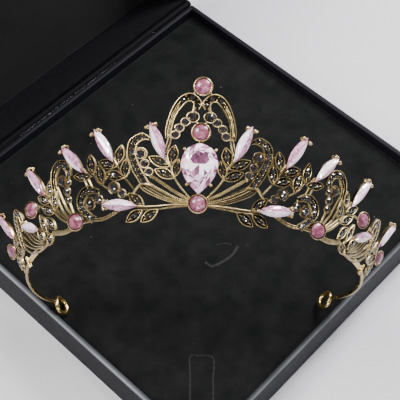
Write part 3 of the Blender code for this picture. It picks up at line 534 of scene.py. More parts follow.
def ramp(tree, source, *stops):
    # colour from a value; a stop is (place, colour) or (place, grey)
    made = node(tree, "ShaderNodeValToRGB", [("Fac", source)])
    line = made.color_ramp.elements
    while len(line) < len(stops):
        line.new(0.5)
    for element, (at, colour) in zip(line, stops):
        element.position = at
        element.color = (tuple(colour) if hasattr(colour, "__len__") else (colour,) * 3) + (1.0,)
    return made.outputs["Color"]


def here(tree):
    return node(tree, "ShaderNodeTexCoord").outputs["Object"]


def noise(tree, scale, detail=3.0, roughness=0.55):
    return node(tree, "ShaderNodeTexNoise", [("Vector", here(tree))],
                Scale=scale, Detail=detail, Roughness=roughness).outputs["Fac"]


def layer_value(tree, name):
    return node(tree, "ShaderNodeAttribute", attribute_name=name).outputs["Fac"]


def mixed(tree, share, one, two, blend="MIX"):
    made = node(tree, "ShaderNodeMix", data_type="RGBA", blend_type=blend)
    for socket, value in ((made.inputs[0], share), (made.inputs[6], one), (made.inputs[7], two)):
        if hasattr(value, "is_linked"):
            tree.links.new(value, socket)
        else:
            socket.default_value = value if isinstance(value, float) else value + (1.0,)
    return made.outputs[2]


def bumped(tree, shader, height, distance, strength):
    made = node(tree, "ShaderNodeBump", [("Height", height)], Distance=distance, Strength=strength)
    tree.links.new(made.outputs["Normal"], shader.inputs["Normal"])


def gold_material(name, bright, dark, rough, patina):
    # bright on the worn crests, dark in the hollows, with stains
    made, tree, shader = material(name, Metallic=1.0)
    blotch = noise(tree, 420.0, 4.0)
    stain = ramp(tree, blotch, (0.36, 0.30), (0.56, 1.0))
    crest = ramp(tree, layer_value(tree, "wear"), (0.30, 0.0), (0.90, 1.0))
    share = mixed(tree, patina, crest, stain, "MULTIPLY")
    tree.links.new(mixed(tree, share, dark, bright), shader.inputs["Base Color"])
    tree.links.new(ramp(tree, blotch, (0.25, rough + 0.16), (0.75, rough - 0.06)), shader.inputs["Roughness"])
    bumped(tree, shader, noise(tree, 2600.0, 2.0), 0.00004, 0.5)
    return made


def cut_material():
    # cut glass: each facet is painted its own tone of reflected light, from a dark painted reflection to a
    # white painted highlight, with a hard gloss over it; the same colour glows faintly as painted light
    made, tree, shader = material("pink_clear", Roughness=0.08, IOR=1.56, Emission_Strength=0.12,
                                  Coat_Weight=1.0, Coat_Roughness=0.02)
    tone = ramp(tree, layer_value(tree, "tone"), (0.0, (0.05, 0.02, 0.035)), (0.22, (0.16, 0.06, 0.11)),
                (0.5, (0.52, 0.24, 0.38)), (0.75, (0.86, 0.58, 0.75)), (1.0, (1.0, 0.95, 1.0)))
    cloud = ramp(tree, noise(tree, 260.0, 2.0), (0.3, 0.86), (0.7, 1.0))
    colour = mixed(tree, 1.0, tone, cloud, "MULTIPLY")
    tree.links.new(colour, shader.inputs["Base Color"])
    # the emission makes the stone glow faintly: painted light, as the stone is no lamp
    tree.links.new(colour, shader.inputs["Emission Color"])
    return made


def milky_material():
    made, tree, shader = material("pink_milky", Roughness=0.25, IOR=1.45, Subsurface_Weight=0.35,
                                  Subsurface_Radius=(0.002, 0.0009, 0.0011), Coat_Weight=0.15,
                                  Coat_Roughness=0.05)
    stone = ramp(tree, noise(tree, 520.0, 4.0, 0.6), (0.32, (0.13, 0.034, 0.062)),
                 (0.50, (0.25, 0.075, 0.125)), (0.70, (0.48, 0.20, 0.28)))
    shade = ramp(tree, layer_value(tree, "tone"), (0.0, 0.72), (1.0, 1.0))
    tree.links.new(mixed(tree, 1.0, stone, shade, "MULTIPLY"), shader.inputs["Base Color"])
    return made


def clouded_material(name, scale, detail, low, high, rough=None, **values):
    # one colour clouded with another; low and high are (place, colour)
    made, tree, shader = material(name, **values)
    cloud = noise(tree, scale, detail)
    tree.links.new(ramp(tree, cloud, low, high), shader.inputs["Base Color"])
    if rough:
        tree.links.new(ramp(tree, cloud, *rough), shader.inputs["Roughness"])
    return made


def velvet_material(name, dark, light, sheen):
    made, tree, shader = material(name, Roughness=0.95, Sheen_Weight=sheen, Sheen_Roughness=0.45,
                                  Specular_IOR_Level=0.08)
    nap = noise(tree, 95.0, 5.0, 0.6)
    fine = noise(tree, 3200.0, 2.0)
    cloth = mixed(tree, ramp(tree, nap, (0.35, 0.0), (0.68, 1.0)), dark, light)
    cloth = mixed(tree, ramp(tree, fine, (0.35, 0.55), (0.65, 1.0)), (0.0, 0.0, 0.0), cloth)
    # a few pale specks of lint
    specks = node(tree, "ShaderNodeTexVoronoi", [("Vector", here(tree))], Scale=170.0)
    lint = ramp(tree, specks.outputs["Distance"], (0.0, 1.0), (0.045, 0.0))
    few = ramp(tree, noise(tree, 60.0, 1.0), (0.56, 0.0), (0.62, 1.0))
    spot = mixed(tree, 1.0, lint, few, "MULTIPLY")
    tree.links.new(mixed(tree, spot, cloth, (0.30, 0.31, 0.29)), shader.inputs["Base Color"])
    bumped(tree, shader, fine, 0.00015, 0.6)
    return made


def board_material(name, paper, edge, gloss):
    # black paper over board, pale where the wear value is high: partly rubbed paper, partly a painted
    # highlight on the lit edges
    made, tree, shader = material(name, Specular_IOR_Level=gloss)
    fibre = noise(tree, 900.0, 4.0)
    broken = ramp(tree, noise(tree, 70.0, 4.0), (0.2, 0.6), (0.6, 1.0))
    # mask for the pale rim: rubbed paper and a painted highlight
    rim = mixed(tree, 1.0, layer_value(tree, "wear"), broken, "MULTIPLY")
    body = mixed(tree, ramp(tree, fibre, (0.3, 0.0), (0.7, 1.0)), paper, tuple(c * 1.7 for c in paper))
    tree.links.new(mixed(tree, rim, body, edge), shader.inputs["Base Color"])
    tree.links.new(ramp(tree, fibre, (0.3, 0.5), (0.7, 0.68)), shader.inputs["Roughness"])
    bumped(tree, shader, fibre, 0.00006, 0.5)
    return made


GOLD = gold_material("antique_gold", (0.72, 0.55, 0.26), (0.014, 0.010, 0.004), 0.26, 0.42)
GOLD_ROPE = gold_material("antique_gold_rope", (0.45, 0.34, 0.16), (0.010, 0.007, 0.003), 0.28, 0.62)
GOLD_SMOOTH = gold_material("antique_gold_smooth", (0.58, 0.42, 0.21), (0.035, 0.024, 0.012), 0.24, 0.55)
GOLD_END = gold_material("antique_gold_wire", (0.80, 0.58, 0.22), (0.13, 0.09, 0.035), 0.22, 0.4)
CLEAR = cut_material()
MILKY = milky_material()
BLACK = clouded_material("black_glass", 500.0, 2.0, (0.3, (0.006, 0.006, 0.007)),
                         (0.7, (0.024, 0.023, 0.026)), Roughness=0.05, IOR=1.6, Coat_Weight=1.0,
                         Coat_Roughness=0.03)
VELVET = velvet_material("velvet", (0.0033, 0.0036, 0.0036), (0.0080, 0.0086, 0.0083), 0.04)
# a darker copy of the velvet for the lid lining: painted shade
VELVET_LID_SHADED = velvet_material("velvet_lid_shaded", (0.0025, 0.0028, 0.0027), (0.0050, 0.0055, 0.0052), 0.06)
# the pale edge colour is partly rubbed paper and partly a painted highlight on the rims
BOARD_WORN_AND_LIT = board_material("box_board", (0.0042, 0.0042, 0.0062), (0.20, 0.205, 0.225), 0.12)
# a darker copy of the board paper for the lid and hinge: painted shade
BOARD_LID_SHADED = board_material("lid_board", (0.0035, 0.0035, 0.0042), (0.009, 0.009, 0.010), 0.03)
HINGE = clouded_material("hinge_metal", 700.0, 3.0, (0.3, (0.008, 0.008, 0.009)),
                         (0.7, (0.022, 0.021, 0.020)), ((0.3, 0.58), (0.7, 0.74)), Metallic=0.6)
# darker than the velvet: painted shade inside the cuts
SLIT_SHADE = clouded_material("velvet_cut_shade", 800.0, 3.0, (0.35, (0.002, 0.002, 0.002)),
                        (0.7, (0.009, 0.0095, 0.010)), Roughness=0.9)
FLOOR = clouded_material("floor", 6.0, 5.0, (0.3, (0.50, 0.50, 0.53)), (0.7, (0.56, 0.56, 0.59)),
                         Roughness=0.85)


# grains round the two stones of a leaf: along its axis and across it
LEAF_GRAINS = ((0.0, 0.62), (0.0, -0.62), (2.02, 0.0), (-2.02, 0.0), (2.55, 0.0), (-2.55, 0.0))


def build_leaves():
    metal, stones = Heap(), Heap()
    for foot_along, foot_up, tip_along, tip_up, width in LEAVES:
        foot, tip = np.array([foot_along, foot_up]), np.array([tip_along, tip_up])
        outline = lens(foot, tip, width, 9)
        cup(metal, inset(outline, 0.04), 0.22, 0.05, 0.38)
        closed_beads(metal, inset(outline, 0.15), 0.48, 0.19, 0.60)
        axis = (tip - foot) / np.linalg.norm(tip - foot)
        side = np.array([-axis[1], axis[0]])
        middle = (foot + tip) * 0.5
        for n in range(2):
            spot = middle + axis * (n - 0.5) * 2.05
            stones.both(*small_gem(spot, min(0.98, (width - 0.9) * 0.36), GEM_OUT, 0.3 + n))
        for along, across in LEAF_GRAINS:
            ball(metal, middle + axis * along + side * across, 0.42, 0.22, 0.3)
    return metal, stones


def ribbon_plate(metal, one, two, across):
    # channel with a sunk floor for the stones
    profile = ((one, BACK), (one, 0.35), (one + across * 0.28, 0.35), (one + across * 0.36, -0.1),
               (two - across * 0.36, -0.1), (two - across * 0.28, 0.35), (two, 0.35), (two, BACK))
    section = np.stack([np.column_stack([edge, np.full(len(one), out)]) for edge, out in profile], 1)
    wear = np.tile([0.4, 0.7, 0.6, 0.0, 0.0, 0.6, 0.7, 0.4], len(one))
    metal.both(section.reshape(-1, 3), grid_faces(len(one), 8), wear)


def ribbon_gems(metal, stones, line, at, width_at, start, end, number):
    # small stones along the ribbon's middle line with two grains between each pair
    gap = (end - start) / max(1, number - 1)
    last = len(line) - 1
    for k in range(number):
        place = start + (end - start) * k / max(1, number - 1)
        i = min(last, int(np.searchsorted(at, place)))
        radius = min(0.95, (width_at[i] - 1.0) * 0.5)
        if radius < 0.3:
            continue
        stones.both(*small_gem(line[i], radius, GEM_OUT, 0.4 * k))
        if k:
            back = min(last, int(np.searchsorted(at, place - gap * 0.5)))
            turn = line[min(last, back + 1)] - line[max(0, back - 1)]
            turn = np.array([-turn[1], turn[0]]) / max(1e-9, np.linalg.norm(turn))
            for way in (0.62, -0.62):
                reach = way * min(1.0, (width_at[back] - 0.9) * 0.55)
                ball(metal, line[back] + turn * reach, 0.42, 0.21, 0.3)


def build_ribbons():
    metal, stones = Heap(), Heap()
    for name, outer, inner, first in RIBBONS:
        arch = name == "arch"
        pairs, _ = curved(np.column_stack([outer, inner]), 0.55)
        one, two = pairs[:, :2], pairs[:, 2:]
        wide = np.linalg.norm(two - one, axis=1, keepdims=True)
        across = (two - one) / wide
        ribbon_plate(metal, one, two, across)
        for edge in (one + across * 0.21, two - across * 0.21):
            path, at = evenly(edge, 0.4 if arch else WIRE_STEPS["bead"])
            shape, wear = (plain_shape(path, 0.20, 0.26, 8), 0.62) if arch else bead_shape(at, 0.22, 0.68)
            metal.both(*tube(path, 0.46, shape), wear)
        line, at = evenly((one + two) * 0.5, 0.05)
        width_at = np.interp(np.linspace(0, 1, len(line)), np.linspace(0, 1, len(one)), wide[:, 0])
        start, end = first * at[-1] + 0.9, at[-1] - 0.8
        number = max(1, int(round((end - start) / 2.02)) + 1)
        if arch:
            start, end, number = 0.645 * at[-1], 0.93 * at[-1], 3
        ribbon_gems(metal, stones, line, at, width_at, start, end, number)
        if first > 0.2:
            # ropes along the part without stones
            for part in ((0.39, 0.61) if arch else (0.5,)):
                base, _ = evenly(one * (1 - part) + two * part, 0.05)
                row, at = evenly(base[:max(4, int(len(base) * first))], 0.15)
                shape, wear = rope_shape(at, 0.22 if arch else 0.24, 0.95)
                metal.both(*tube(row, 0.24, shape), wear)
    return metal, stones


def build_wires():
    metal = Heap()
    for kind, width, points in WIRES:
        wire(metal, kind, width, points)
    for kind, width, points in MIDDLE_WIRES:
        wire(metal, kind, width, points, sides=(1,))
    return metal


def ring(heap, spot, radius, thick, out, ends=None):
    # round wire, whole or open between two angles in degrees
    if ends:
        angle = np.radians(np.linspace(*ends, 30))
        row = np.stack([spot[0] + radius * np.cos(angle), spot[1] + radius * np.sin(angle)], 1)
    else:
        row = circle(spot, radius, max(24, int(radius * 26)))
    heap.both(*tube(row, out, plain_shape(row, thick, thick * 1.15, 8), not ends), 0.9)


def dark_floor(metal, spot, radius, high):
    metal.both(*stack([(circle(spot, radius, 16), -0.5), (circle(spot, radius, 16), high)]), 0.0)


def build_small_settings():
    metal, stones = Heap(), Heap()
    for along, up, radius in RINGS:
        spot = (along, up)
        ring(metal, spot, radius - 0.19, 0.17, -0.1)
        ring(metal, spot, radius - 0.19, 0.16, 0.26)
        dark_floor(metal, spot, radius - 0.35, 0.05)
        stones.both(*small_gem(spot, radius - 0.42, 0.36, 0.5))
    for name, along, up, first, last in BLACKS:
        spot = (along, up)
        if name == "arch":
            ring(metal, spot, 1.9, 0.15, 0.3)
            dark_floor(metal, spot, 1.75, 0.2)
        else:
            cup(metal, true_size(circle(spot, 1.82, 20), spot), 0.20, 0.1, 0.72)
            ring(metal, spot, 2.2, 0.17, 0.1, (first, last))
            ring(metal, spot, 2.25, 0.17, 0.5, (first, last))
    return metal, stones


def navette_setting(metal, row):
    # tapered cup, a stem at the foot and two grains on each side of the tip
    outline, middle, axis, side = navette_outline(row, 12, -0.15)
    seat(metal, outline, ((0.5, BACK, 0.4), (0.3, -0.45, 0.5), (0.22, 0.6, 0.6), (0.02, 1.02, 1.0),
                          (0.3, 1.04, 0.8), (0.4, 0.25, 0.2)))
    foot = middle - axis * NAVETTE_LONG * 0.5
    wire(metal, "plain", 1.2, (foot - axis * 1.4, foot + axis * 1.9), -0.1)
    for way in (1.0, -1.0):
        spot = middle + axis * NAVETTE_LONG * 0.4 + side * way * (NAVETTE_WIDE * 0.3 + 0.25)
        inner = middle + axis * NAVETTE_LONG * 0.35 + side * way * 0.5
        wire(metal, "plain", 0.9, (inner, spot), -0.15)
        ball(metal, spot, 1.75, 0.66, 2.1)
        ball(metal, spot - side * way * 0.60 + axis * 0.15, 1.95, 0.5)


def pear_setting(metal):
    seat(metal, pear_outline(40, 0.2), ((1.0, BACK, 0.4), (0.8, -0.45, 0.5), (0.5, 0.9, 0.6), (0.1, 1.5, 1.0),
                                        (0.35, 1.56, 0.8), (0.6, 0.4, 0.2)), (1,))
    for x, y in ((5.0, 5.3), (4.1, -7.65)):
        for way in (1.0, -1.0):
            spot = np.array([way * x, PEAR_MIDDLE + y])
            inner = np.array([way * x * 0.62, PEAR_MIDDLE + y * 0.72])
            reach = (spot - inner) / np.linalg.norm(spot - inner)
            wire(metal, "plain", 0.8, (inner, spot), -0.2, (1,))
            ball(metal, spot, 2.0, 0.55, 2.4, (1,))
            ball(metal, spot - reach * 0.45, 2.2, 0.36, 0.0, (1,))


def round_setting(metal, spot, sides, turn=0.0):
    outer = true_size(circle(spot, ROUND_STONE + 0.62, 36), spot)
    rows = ((0.5, BACK, 0.4), (0.28, -0.45, 0.5), (0.16, 0.7, 0.6), (0.0, 0.95, 1.0), (0.04, 1.12, 1.0),
            (0.2, 1.28, 1.0), (0.36, 1.26, 0.8), (0.52, 1.0, 0.2), (0.66, 0.1, 0.0))
    seat(metal, outer, rows, sides, spot, turn)
    if not turn:
        closed_beads(metal, true_size(circle(spot, ROUND_STONE + 0.55, 60), spot), 0.95, 0.15, 0.75, sides)


def build_settings():
    metal = Heap()
    for _, along, up in ROUNDS:
        round_setting(metal, (along, up), (1, -1), SIDE_TURN)
    for _, up in MIDDLE_ROUNDS:
        round_setting(metal, (0.0, up * CROWN), (1,))
    # stems and grains under the top stone
    wire(metal, "plain", 0.7, ((1.0, 29.9), (1.9, 30.9)), 0.0)
    ball(metal, (1.25, 29.8), 1.5, 0.46, 1.9)
    ball(metal, (1.75, 30.5), 1.3, 0.40, 1.7)
    wire(metal, "plain", 0.55, ((0.9, 36.9), (0.0, 37.7)), 0.1)
    wire(metal, "plain", 0.6, ((2.6, 41.0), (2.2, 41.7)), 0.0)
    for row in NAVETTES:
        navette_setting(metal, row)
    pear_setting(metal)
    return metal


def build_ends():
    metal = Heap()
    start, last = BAND_HALF * 1000.0, (WIRE_END - LOOP_RADIUS * 0.8) * 1000.0
    path, _ = evenly(np.array([(97.0, 0.0), (last + 0.3, LOOP_UP)]), 1.0)
    path[:, 1] = LOOP_UP * np.clip((path[:, 0] - start) / (last - start), 0.0, 1.0)
    near = np.clip((path[:, 0] - 138.0) / (last - 138.0), 0.0, 1.0)
    section = circle((0.0, 0.0), 0.84, 12)
    metal.both(*tube(path, -0.2 - 1.2 * near * near, np.broadcast_to(section, (len(path), 12, 2))), 0.5)
    # loop at the end of the wire
    spot = (WIRE_END * 1000.0, LOOP_UP)
    section = circle((0.0, 0.0), 0.98, 14)
    verts, faces = tube(circle(spot, 3.75, 40), 0.0, np.broadcast_to(section, (40, 14, 2)), True)
    metal.both(tipped(verts, spot, SIDE_TURN) - np.array([0.0, 0.0, 0.15]), faces, 0.9)
    # flat end of the band and the turned-up tab
    wire(metal, "strap", 2.4, ((86.0, -0.4), (92.0, -0.1), (98.4, 0.1)), -0.15)
    wire(metal, "strap", 1.3, ((98.6, -2.3), (98.6, 2.5)), 0.55)
    wire(metal, "strap", 1.3, ((98.6, -1.9), (98.6, 1.9)), -0.1)
    return metal


def pear_outline(count, less=0.0):
    # round at the top and drawn to a point below
    long, wide = PEAR_LONG - less, PEAR_WIDE - less
    rise = long * PEAR_ROUND
    rows = []
    for i in range(count):
        angle = math.tau * i / count + math.pi * 0.5
        x, y = math.cos(angle), math.sin(angle)
        if y >= 0:
            rows.append((wide * 0.5 * x, PEAR_MIDDLE + rise * y))
        else:
            part = 1.0 - abs(math.asin(max(-1.0, min(1.0, x)))) / (math.pi * 0.5)
            half = wide * 0.5 * (1.0 - part ** 2.1)
            rows.append((math.copysign(half, x), PEAR_MIDDLE - (long - rise) * part))
    return true_size(rows, (0.0, PEAR_MIDDLE))


def navette_outline(row, count, grow=0.0):
    foot, tip = np.array(row[1:3]), np.array(row[3:5])
    axis = (tip - foot) / np.linalg.norm(tip - foot)
    middle = (foot + tip) * 0.5
    half = axis * (NAVETTE_LONG * 0.5 + grow)
    outline = lens(middle - half, middle + half, NAVETTE_WIDE + 2.0 * grow, count)
    return true_size(outline, middle), middle, axis, np.array([-axis[1], axis[0]])


def toned(number, seed):
    # steady scatter of light and dark facets
    value = math.sin(number * 12.9898 + seed * 78.233) * 43758.5453
    return value - math.floor(value)


def facets_between(low, high, turned):
    # zigzag of triangles between two rows of vertex numbers, the second with as many or half as many
    faces = []
    for i in range(len(high)):
        j = (i + 1) % len(high)
        if len(low) > len(high):
            a, b, c = low[2 * i], low[2 * i + 1], low[(2 * i + 2) % len(low)]
            faces += [(a, b, high[i]), (b, c, high[j]), (b, high[j], high[i])]
        elif turned:
            faces += [(low[i], low[j], high[j]), (low[i], high[j], high[i])]
        else:
            faces += [(low[i], low[j], high[i]), (low[j], high[j], high[i])]
    return faces


def faceted(rings, belts, turned):
    # stone from rings of (outline, out): plain belts first, then facets; turned says which rings lean back
    verts = [np.column_stack([outline, np.full(len(outline), out)]) for outline, out in rings]
    starts = np.concatenate([[0], np.cumsum([len(part) for part in verts])])
    rows = [list(range(starts[k], starts[k + 1])) for k in range(len(rings))]
    faces = [tuple(rows[0])[::-1]]
    for k, (low, high) in enumerate(zip(rows, rows[1:])):
        if k < belts:
            faces += [(a, b, d, c) for a, b, c, d in zip(low, low[1:] + low[:1], high, high[1:] + high[:1])]
        else:
            faces += facets_between(low, high, k in turned)
    return np.vstack(verts), faces, rows[-1]


def stone_piece(name, node_name, slot, mat, verts, faces, mirror, **layers):
    verts, faces = flipped(verts, faces, mirror)
    piece(name, bend(verts), faces, mat, "box", slot, (node_name,), **layers)


def cut_stone(name, node_name, rings, centre, painted_reflection_of, mirror=False):
    # clear stone; the facets of the table meet at its middle, and each facet gets a painted reflection tone
    verts, faces, last = faceted(rings, 2, (3, 5))
    verts = np.vstack([verts, [(centre[0], centre[1], rings[-1][1])]])
    faces += [(last[i], last[(i + 1) % len(last)], len(verts) - 1) for i in range(len(last))]
    painted_reflections = []
    for number, face in enumerate(faces):
        spot = verts[list(face)].mean(0)
        painted_reflections.append(min(1.0, max(0.0, painted_reflection_of(spot[0] - centre[0], spot[1] - centre[1], number))))
    stone_piece(name, node_name, "pink_clear", CLEAR, verts, faces, mirror, tone=painted_reflections)


def pear_painted_reflections(x, y, number):
    # painted reflections: a dark painted reflection under the top, a painted highlight on the right and a
    # paler one on the left, scattered light and dark facets elsewhere
    scatter = toned(number, 4)
    if -2.6 < x < 2.7 and 0.2 < y < 4.4:
        return 0.02 + 0.24 * scatter
    if 0.0 < x < 4.6 and -2.2 < y < 1.6:
        return 0.97 + 0.03 * scatter
    if -5.2 < x < -1.4 and -2.4 < y < 2.4:
        return 0.74 + 0.26 * scatter
    return 0.26 + 0.46 * (number % 2) + 0.36 * (scatter - 0.35)


def pear_stone():
    centre = np.array([0.0, PEAR_MIDDLE - 0.2])
    whole = pear_outline(32)
    between = pear_outline(64)[1::4]
    rings = [(centre + (outline - centre) * share, out) for outline, share, out in (
        (whole, 0.55, 0.35), (whole, 1.0, 1.7), (whole, 1.0, 1.85), (whole[::2], 0.80, 2.6),
        (between, 0.64, 3.0), (whole[::2], 0.56, 3.2), (whole[::4], 0.34, 3.2))]
    cut_stone("pear", "pear_stone", rings, centre, pear_painted_reflections)


def navette_stone(row, side, mirror):
    outline, middle, axis, across = navette_outline(row, 9)
    along = ((outline - middle) @ axis)[:, None] * axis
    rings = [(middle + (outline - middle - along) * share + along * long, out) for share, long, out in (
        (0.5, 0.8, 0.4), (1.0, 1.0, 1.3), (1.0, 1.0, 1.42), (0.80, 0.86, 2.1), (0.50, 0.70, 2.55),
        (0.16, 0.52, 2.75))]
    seed = int(row[0]) + (3 if mirror else 0)
    # painted light: this picks the long side painted lit; the other side is painted in shade
    light = 1.0 if seed % 2 else -1.0

    def painted_reflection_of(x, y, number):
        # the tips are painted darker, and each facet gets a scattered painted reflection
        value = 0.86 if (x * across[0] + y * across[1]) * light > 0 else 0.46
        if abs(x * axis[0] + y * axis[1]) > 0.74 * NAVETTE_LONG * 0.5:
            value -= 0.26
        return value + 0.36 * (toned(number, seed) - 0.5)
    ending = "%s_%s" % (row[0], side)
    cut_stone("navette_cut_" + ending, "navette_" + ending, rings, middle, painted_reflection_of, mirror)


def round_stone(ending, spot, mirror=False, turn=0.0):
    # low milky dome with rose-cut facets
    rings = [(true_size(circle(spot, ROUND_STONE * share, 12, start), spot), out) for share, start, out in (
        (0.8, 0.0, 0.3), (1.0, 0.0, 0.95), (0.97, 0.0, 1.12), (0.70, math.pi / 12, 1.62), (0.36, 0.0, 1.88))]
    verts, faces, last = faceted(rings, 2, (3,))
    faces.append(tuple(last))
    name = "round_" + ending
    stone_piece(name, "round_stone_" + ending, "pink_milky", MILKY, tipped(verts, spot, turn), faces, mirror,
                tone=[toned(i, len(name)) for i in range(len(faces))])


def black_stone(ending, spot, mirror):
    rings = [(true_size(circle(spot, BLACK_STONE * share, 10, start), spot), out) for share, start, out in (
        (0.75, 0.0, 0.25), (1.0, 0.0, 0.9), (0.80, math.pi / 10, 1.45), (0.42, 0.0, 1.8))]
    verts, faces, last = faceted(rings, 1, (2,))
    faces.append(tuple(last))
    stone_piece("black_" + ending, "black_stone_" + ending, "black_glass", BLACK, verts, faces, mirror)


def build_stones():
    pear_stone()
    for name, up in MIDDLE_ROUNDS:
        round_stone(name, (0.0, up * CROWN))
    for side, mirror in (("left", True), ("right", False)):
        for row in NAVETTES:
            navette_stone(row, side, mirror)
        for name, along, up in ROUNDS:
            round_stone("%s_%s" % (name, side), (along, up), mirror, SIDE_TURN)
        for name, along, up, _, _ in BLACKS:
            black_stone("%s_%s" % (name, side), (along, up), mirror)


def rounded_square(cut, corner):
    # outline of the box moved inward by a cut, five points at each corner
    half, deep = BOX_WIDE * 0.5 - cut, BOX_DEEP * 0.5 - cut
    rows = []
    for k, (side, end) in enumerate(((1, 1), (-1, 1), (-1, -1), (1, -1))):
        for i in range(5):
            a = math.radians(90.0 * k + 22.5 * i)
            rows.append((side * (half - corner) + corner * math.cos(a),
                         end * (deep - corner) + corner * math.sin(a)))
    return np.array(rows)


def tray_mesh(top):
    # board tray with softened edges
    levels = ((0.0004, 0.0), (0.0, 0.0004), (0.0, top - 0.0020), (0.0, top - 0.0007), (0.0002, top - 0.0002),
              (0.0006, top), (0.0012, top), (BOX_WALL - 0.0006, top), (BOX_WALL - 0.0001, top - 0.0003),
              (BOX_WALL, top - 0.0008), (BOX_WALL, BOX_FLOOR))
    return stack([(rounded_square(cut, 0.0012 if cut < BOX_WALL * 0.5 else 0.0006), z) for cut, z in levels])


def on_lid(verts):
    # turns a tray or pad over, sets it on the base and swings it open
    axis = Vector((0.0, HINGE_Y, BOX_HEIGHT))
    swing = np.array(Matrix.Translation(axis) @ Matrix.Rotation(math.radians(-LID_OPEN), 4, "X")
                     @ Matrix.Translation(-axis))
    shut = np.column_stack([verts[:, 0], -verts[:, 1], BOX_HEIGHT + LID_DEPTH - verts[:, 2]])
    return shut @ swing[:3, :3].T + swing[:3, 3]


def pad_mesh(low, high, edge, cells):
    # foam block covered in velvet: rolled edge, slightly uneven top
    line = np.linspace(-1, 1, cells + 1)
    line = np.sign(line) * (1 - (1 - np.abs(line)) ** 1.35)
    half, deep = BOX_WIDE * 0.5 - BOX_WALL - FIT_GAP, BOX_DEEP * 0.5 - BOX_WALL - FIT_GAP
    xs, ys = np.meshgrid(line * half, line * deep)
    rim = np.minimum(half - np.abs(xs), deep - np.abs(ys))
    fall = np.clip(1 - rim / edge, 0, 1)
    top = high - edge * 0.55 * (1 - np.sqrt(np.clip(1 - fall ** 2, 0, 1)))
    wave = 0.00012 * (np.sin(xs * 61 + 1.3) * np.sin(ys * 47 + 0.4) + 0.6 * np.sin(xs * 133 + ys * 91))
    top = np.minimum(high, top - 0.00014 + wave * (1 - fall))
    count = cells + 1
    verts = np.column_stack([xs.ravel(), ys.ravel(), top.ravel()])
    faces = net_faces(count)
    border = (list(range(count)) + [r * count + cells for r in range(1, count)]
              + [cells * count + c for c in range(cells - 1, -1, -1)]
              + [r * count for r in range(cells - 1, 0, -1)])
    base, number = len(verts), len(border)
    under = verts[border].copy()
    under[:, 2] = low
    for i in range(number):
        j = (i + 1) % number
        faces.append((border[j], border[i], base + i, base + j))
    faces.append(tuple(range(base, base + number))[::-1])
    return np.vstack([verts, under]), faces


def slit(name, points, width):
    # cut in the pad: a line painted dark as shade in the cut, with a low lip on each side
    path, at = curved(points, 0.0008)
    profile = np.array([(-1.6, -0.00010), (-1.0, 0.00016), (-0.45, 0.00012), (0.0, -0.00012), (0.45, 0.00012),
                        (1.0, 0.00016), (1.6, -0.00010)])
    count = len(profile)
    rough = width * (1.0 + 0.18 * np.sin(at * 2100.0) + 0.12 * np.sin(at * 5300.0 + 1.0))
    verts = np.zeros((len(path), count, 3))
    verts[:, :, :2] = path[:, None] + sides_of(path)[:, None] * (profile[None, :, :1] * rough[:, None, None])
    verts[:, :, 2] = INSERT_TOP + profile[None, :, 1]
    faces = [(a + 1, a, a + count, a + count + 1)
             for r in range(len(path) - 1) for a in range(r * count, (r + 1) * count - 1)]
    piece(name, verts.reshape(-1, 3), faces, SLIT_SHADE, "box", "velvet", sharp=40.0)


def rubbed_and_lit_edges():
    # how pale the paper is painted, as rubbed paper and as a painted highlight: most along the outer top edge
    # of the left and front walls
    by_level = (0.18, 0.0, 0.0, 0.25, 1.0, 0.8, 0.32, 0.10, 0.02, 0.0, 0.0)
    by_corner = ((0.0, 0.0, 0.0, 0.0, 0.0), (0.0, 0.3, 0.6, 0.9, 1.0), (1.0, 0.9, 0.75, 0.6, 0.5),
                 (0.5, 0.4, 0.2, 0.1, 0.0))
    return np.outer(by_level, np.ravel(by_corner)).ravel()


def build_hinge():
    # paper strip over the hinge: open arcs round the pin's line, longer beside the hinge than over it
    paper, liner = Heap(), Heap()
    side = BOX_WIDE * 0.5 - 0.0004
    gap = 0.00004
    for first, last, end in ((-side, -PIN_HALF - gap, 215.0), (-PIN_HALF, PIN_HALF, 152.0),
                             (PIN_HALF + gap, side, 215.0)):
        arc = np.radians(np.linspace(50.0, end, 12))
        turn = np.concatenate([arc, arc[::-1]])
        reach = HINGE_RADIUS + np.repeat([0.00026, 0.00005], 12)
        round_pin = [HINGE_Y + reach * np.cos(turn), BOX_HEIGHT + reach * np.sin(turn)]
        rows = [np.column_stack([np.full(24, x)] + round_pin) for x in np.linspace(first, last, 6)]
        paper.add(np.vstack(rows), grid_faces(6, 24), 0.0)
    piece("hinge_paper", np.vstack(paper.verts), paper.faces, BOARD_LID_SHADED, "lid", "box_board", sharp=40.0,
          wear=np.concatenate(paper.wear))
    # paper on the back wall, thicker beside the hinge
    leaf = HINGE_END + 0.0001
    rear = BOX_DEEP * 0.5
    near = rear + 0.00001
    beside, behind = (0.0024, 0.0190, 0.0214), (0.00027, 0.0110, 0.0232)
    for first, last, sizes in ((-side, -leaf, beside), (-leaf, leaf, behind), (leaf, side, beside)):
        out, low, high = sizes
        section = ((near, low), (rear + out, low), (rear + out, high), (near, high))
        liner.add(np.array([(x, y, z) for x in (first, last) for y, z in section]), grid_faces(2, 4), 0.0)
    piece("hinge_liner", np.vstack(liner.verts), liner.faces, BOARD_LID_SHADED, "box", "box_board",
          wear=np.concatenate(liner.wear))
    for name in ("hinge_base_left", "hinge_base_right", "hinge_lid", "hinge_pin"):
        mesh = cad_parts[name].data
        mesh.materials.clear()
        mesh.materials.append(HINGE)


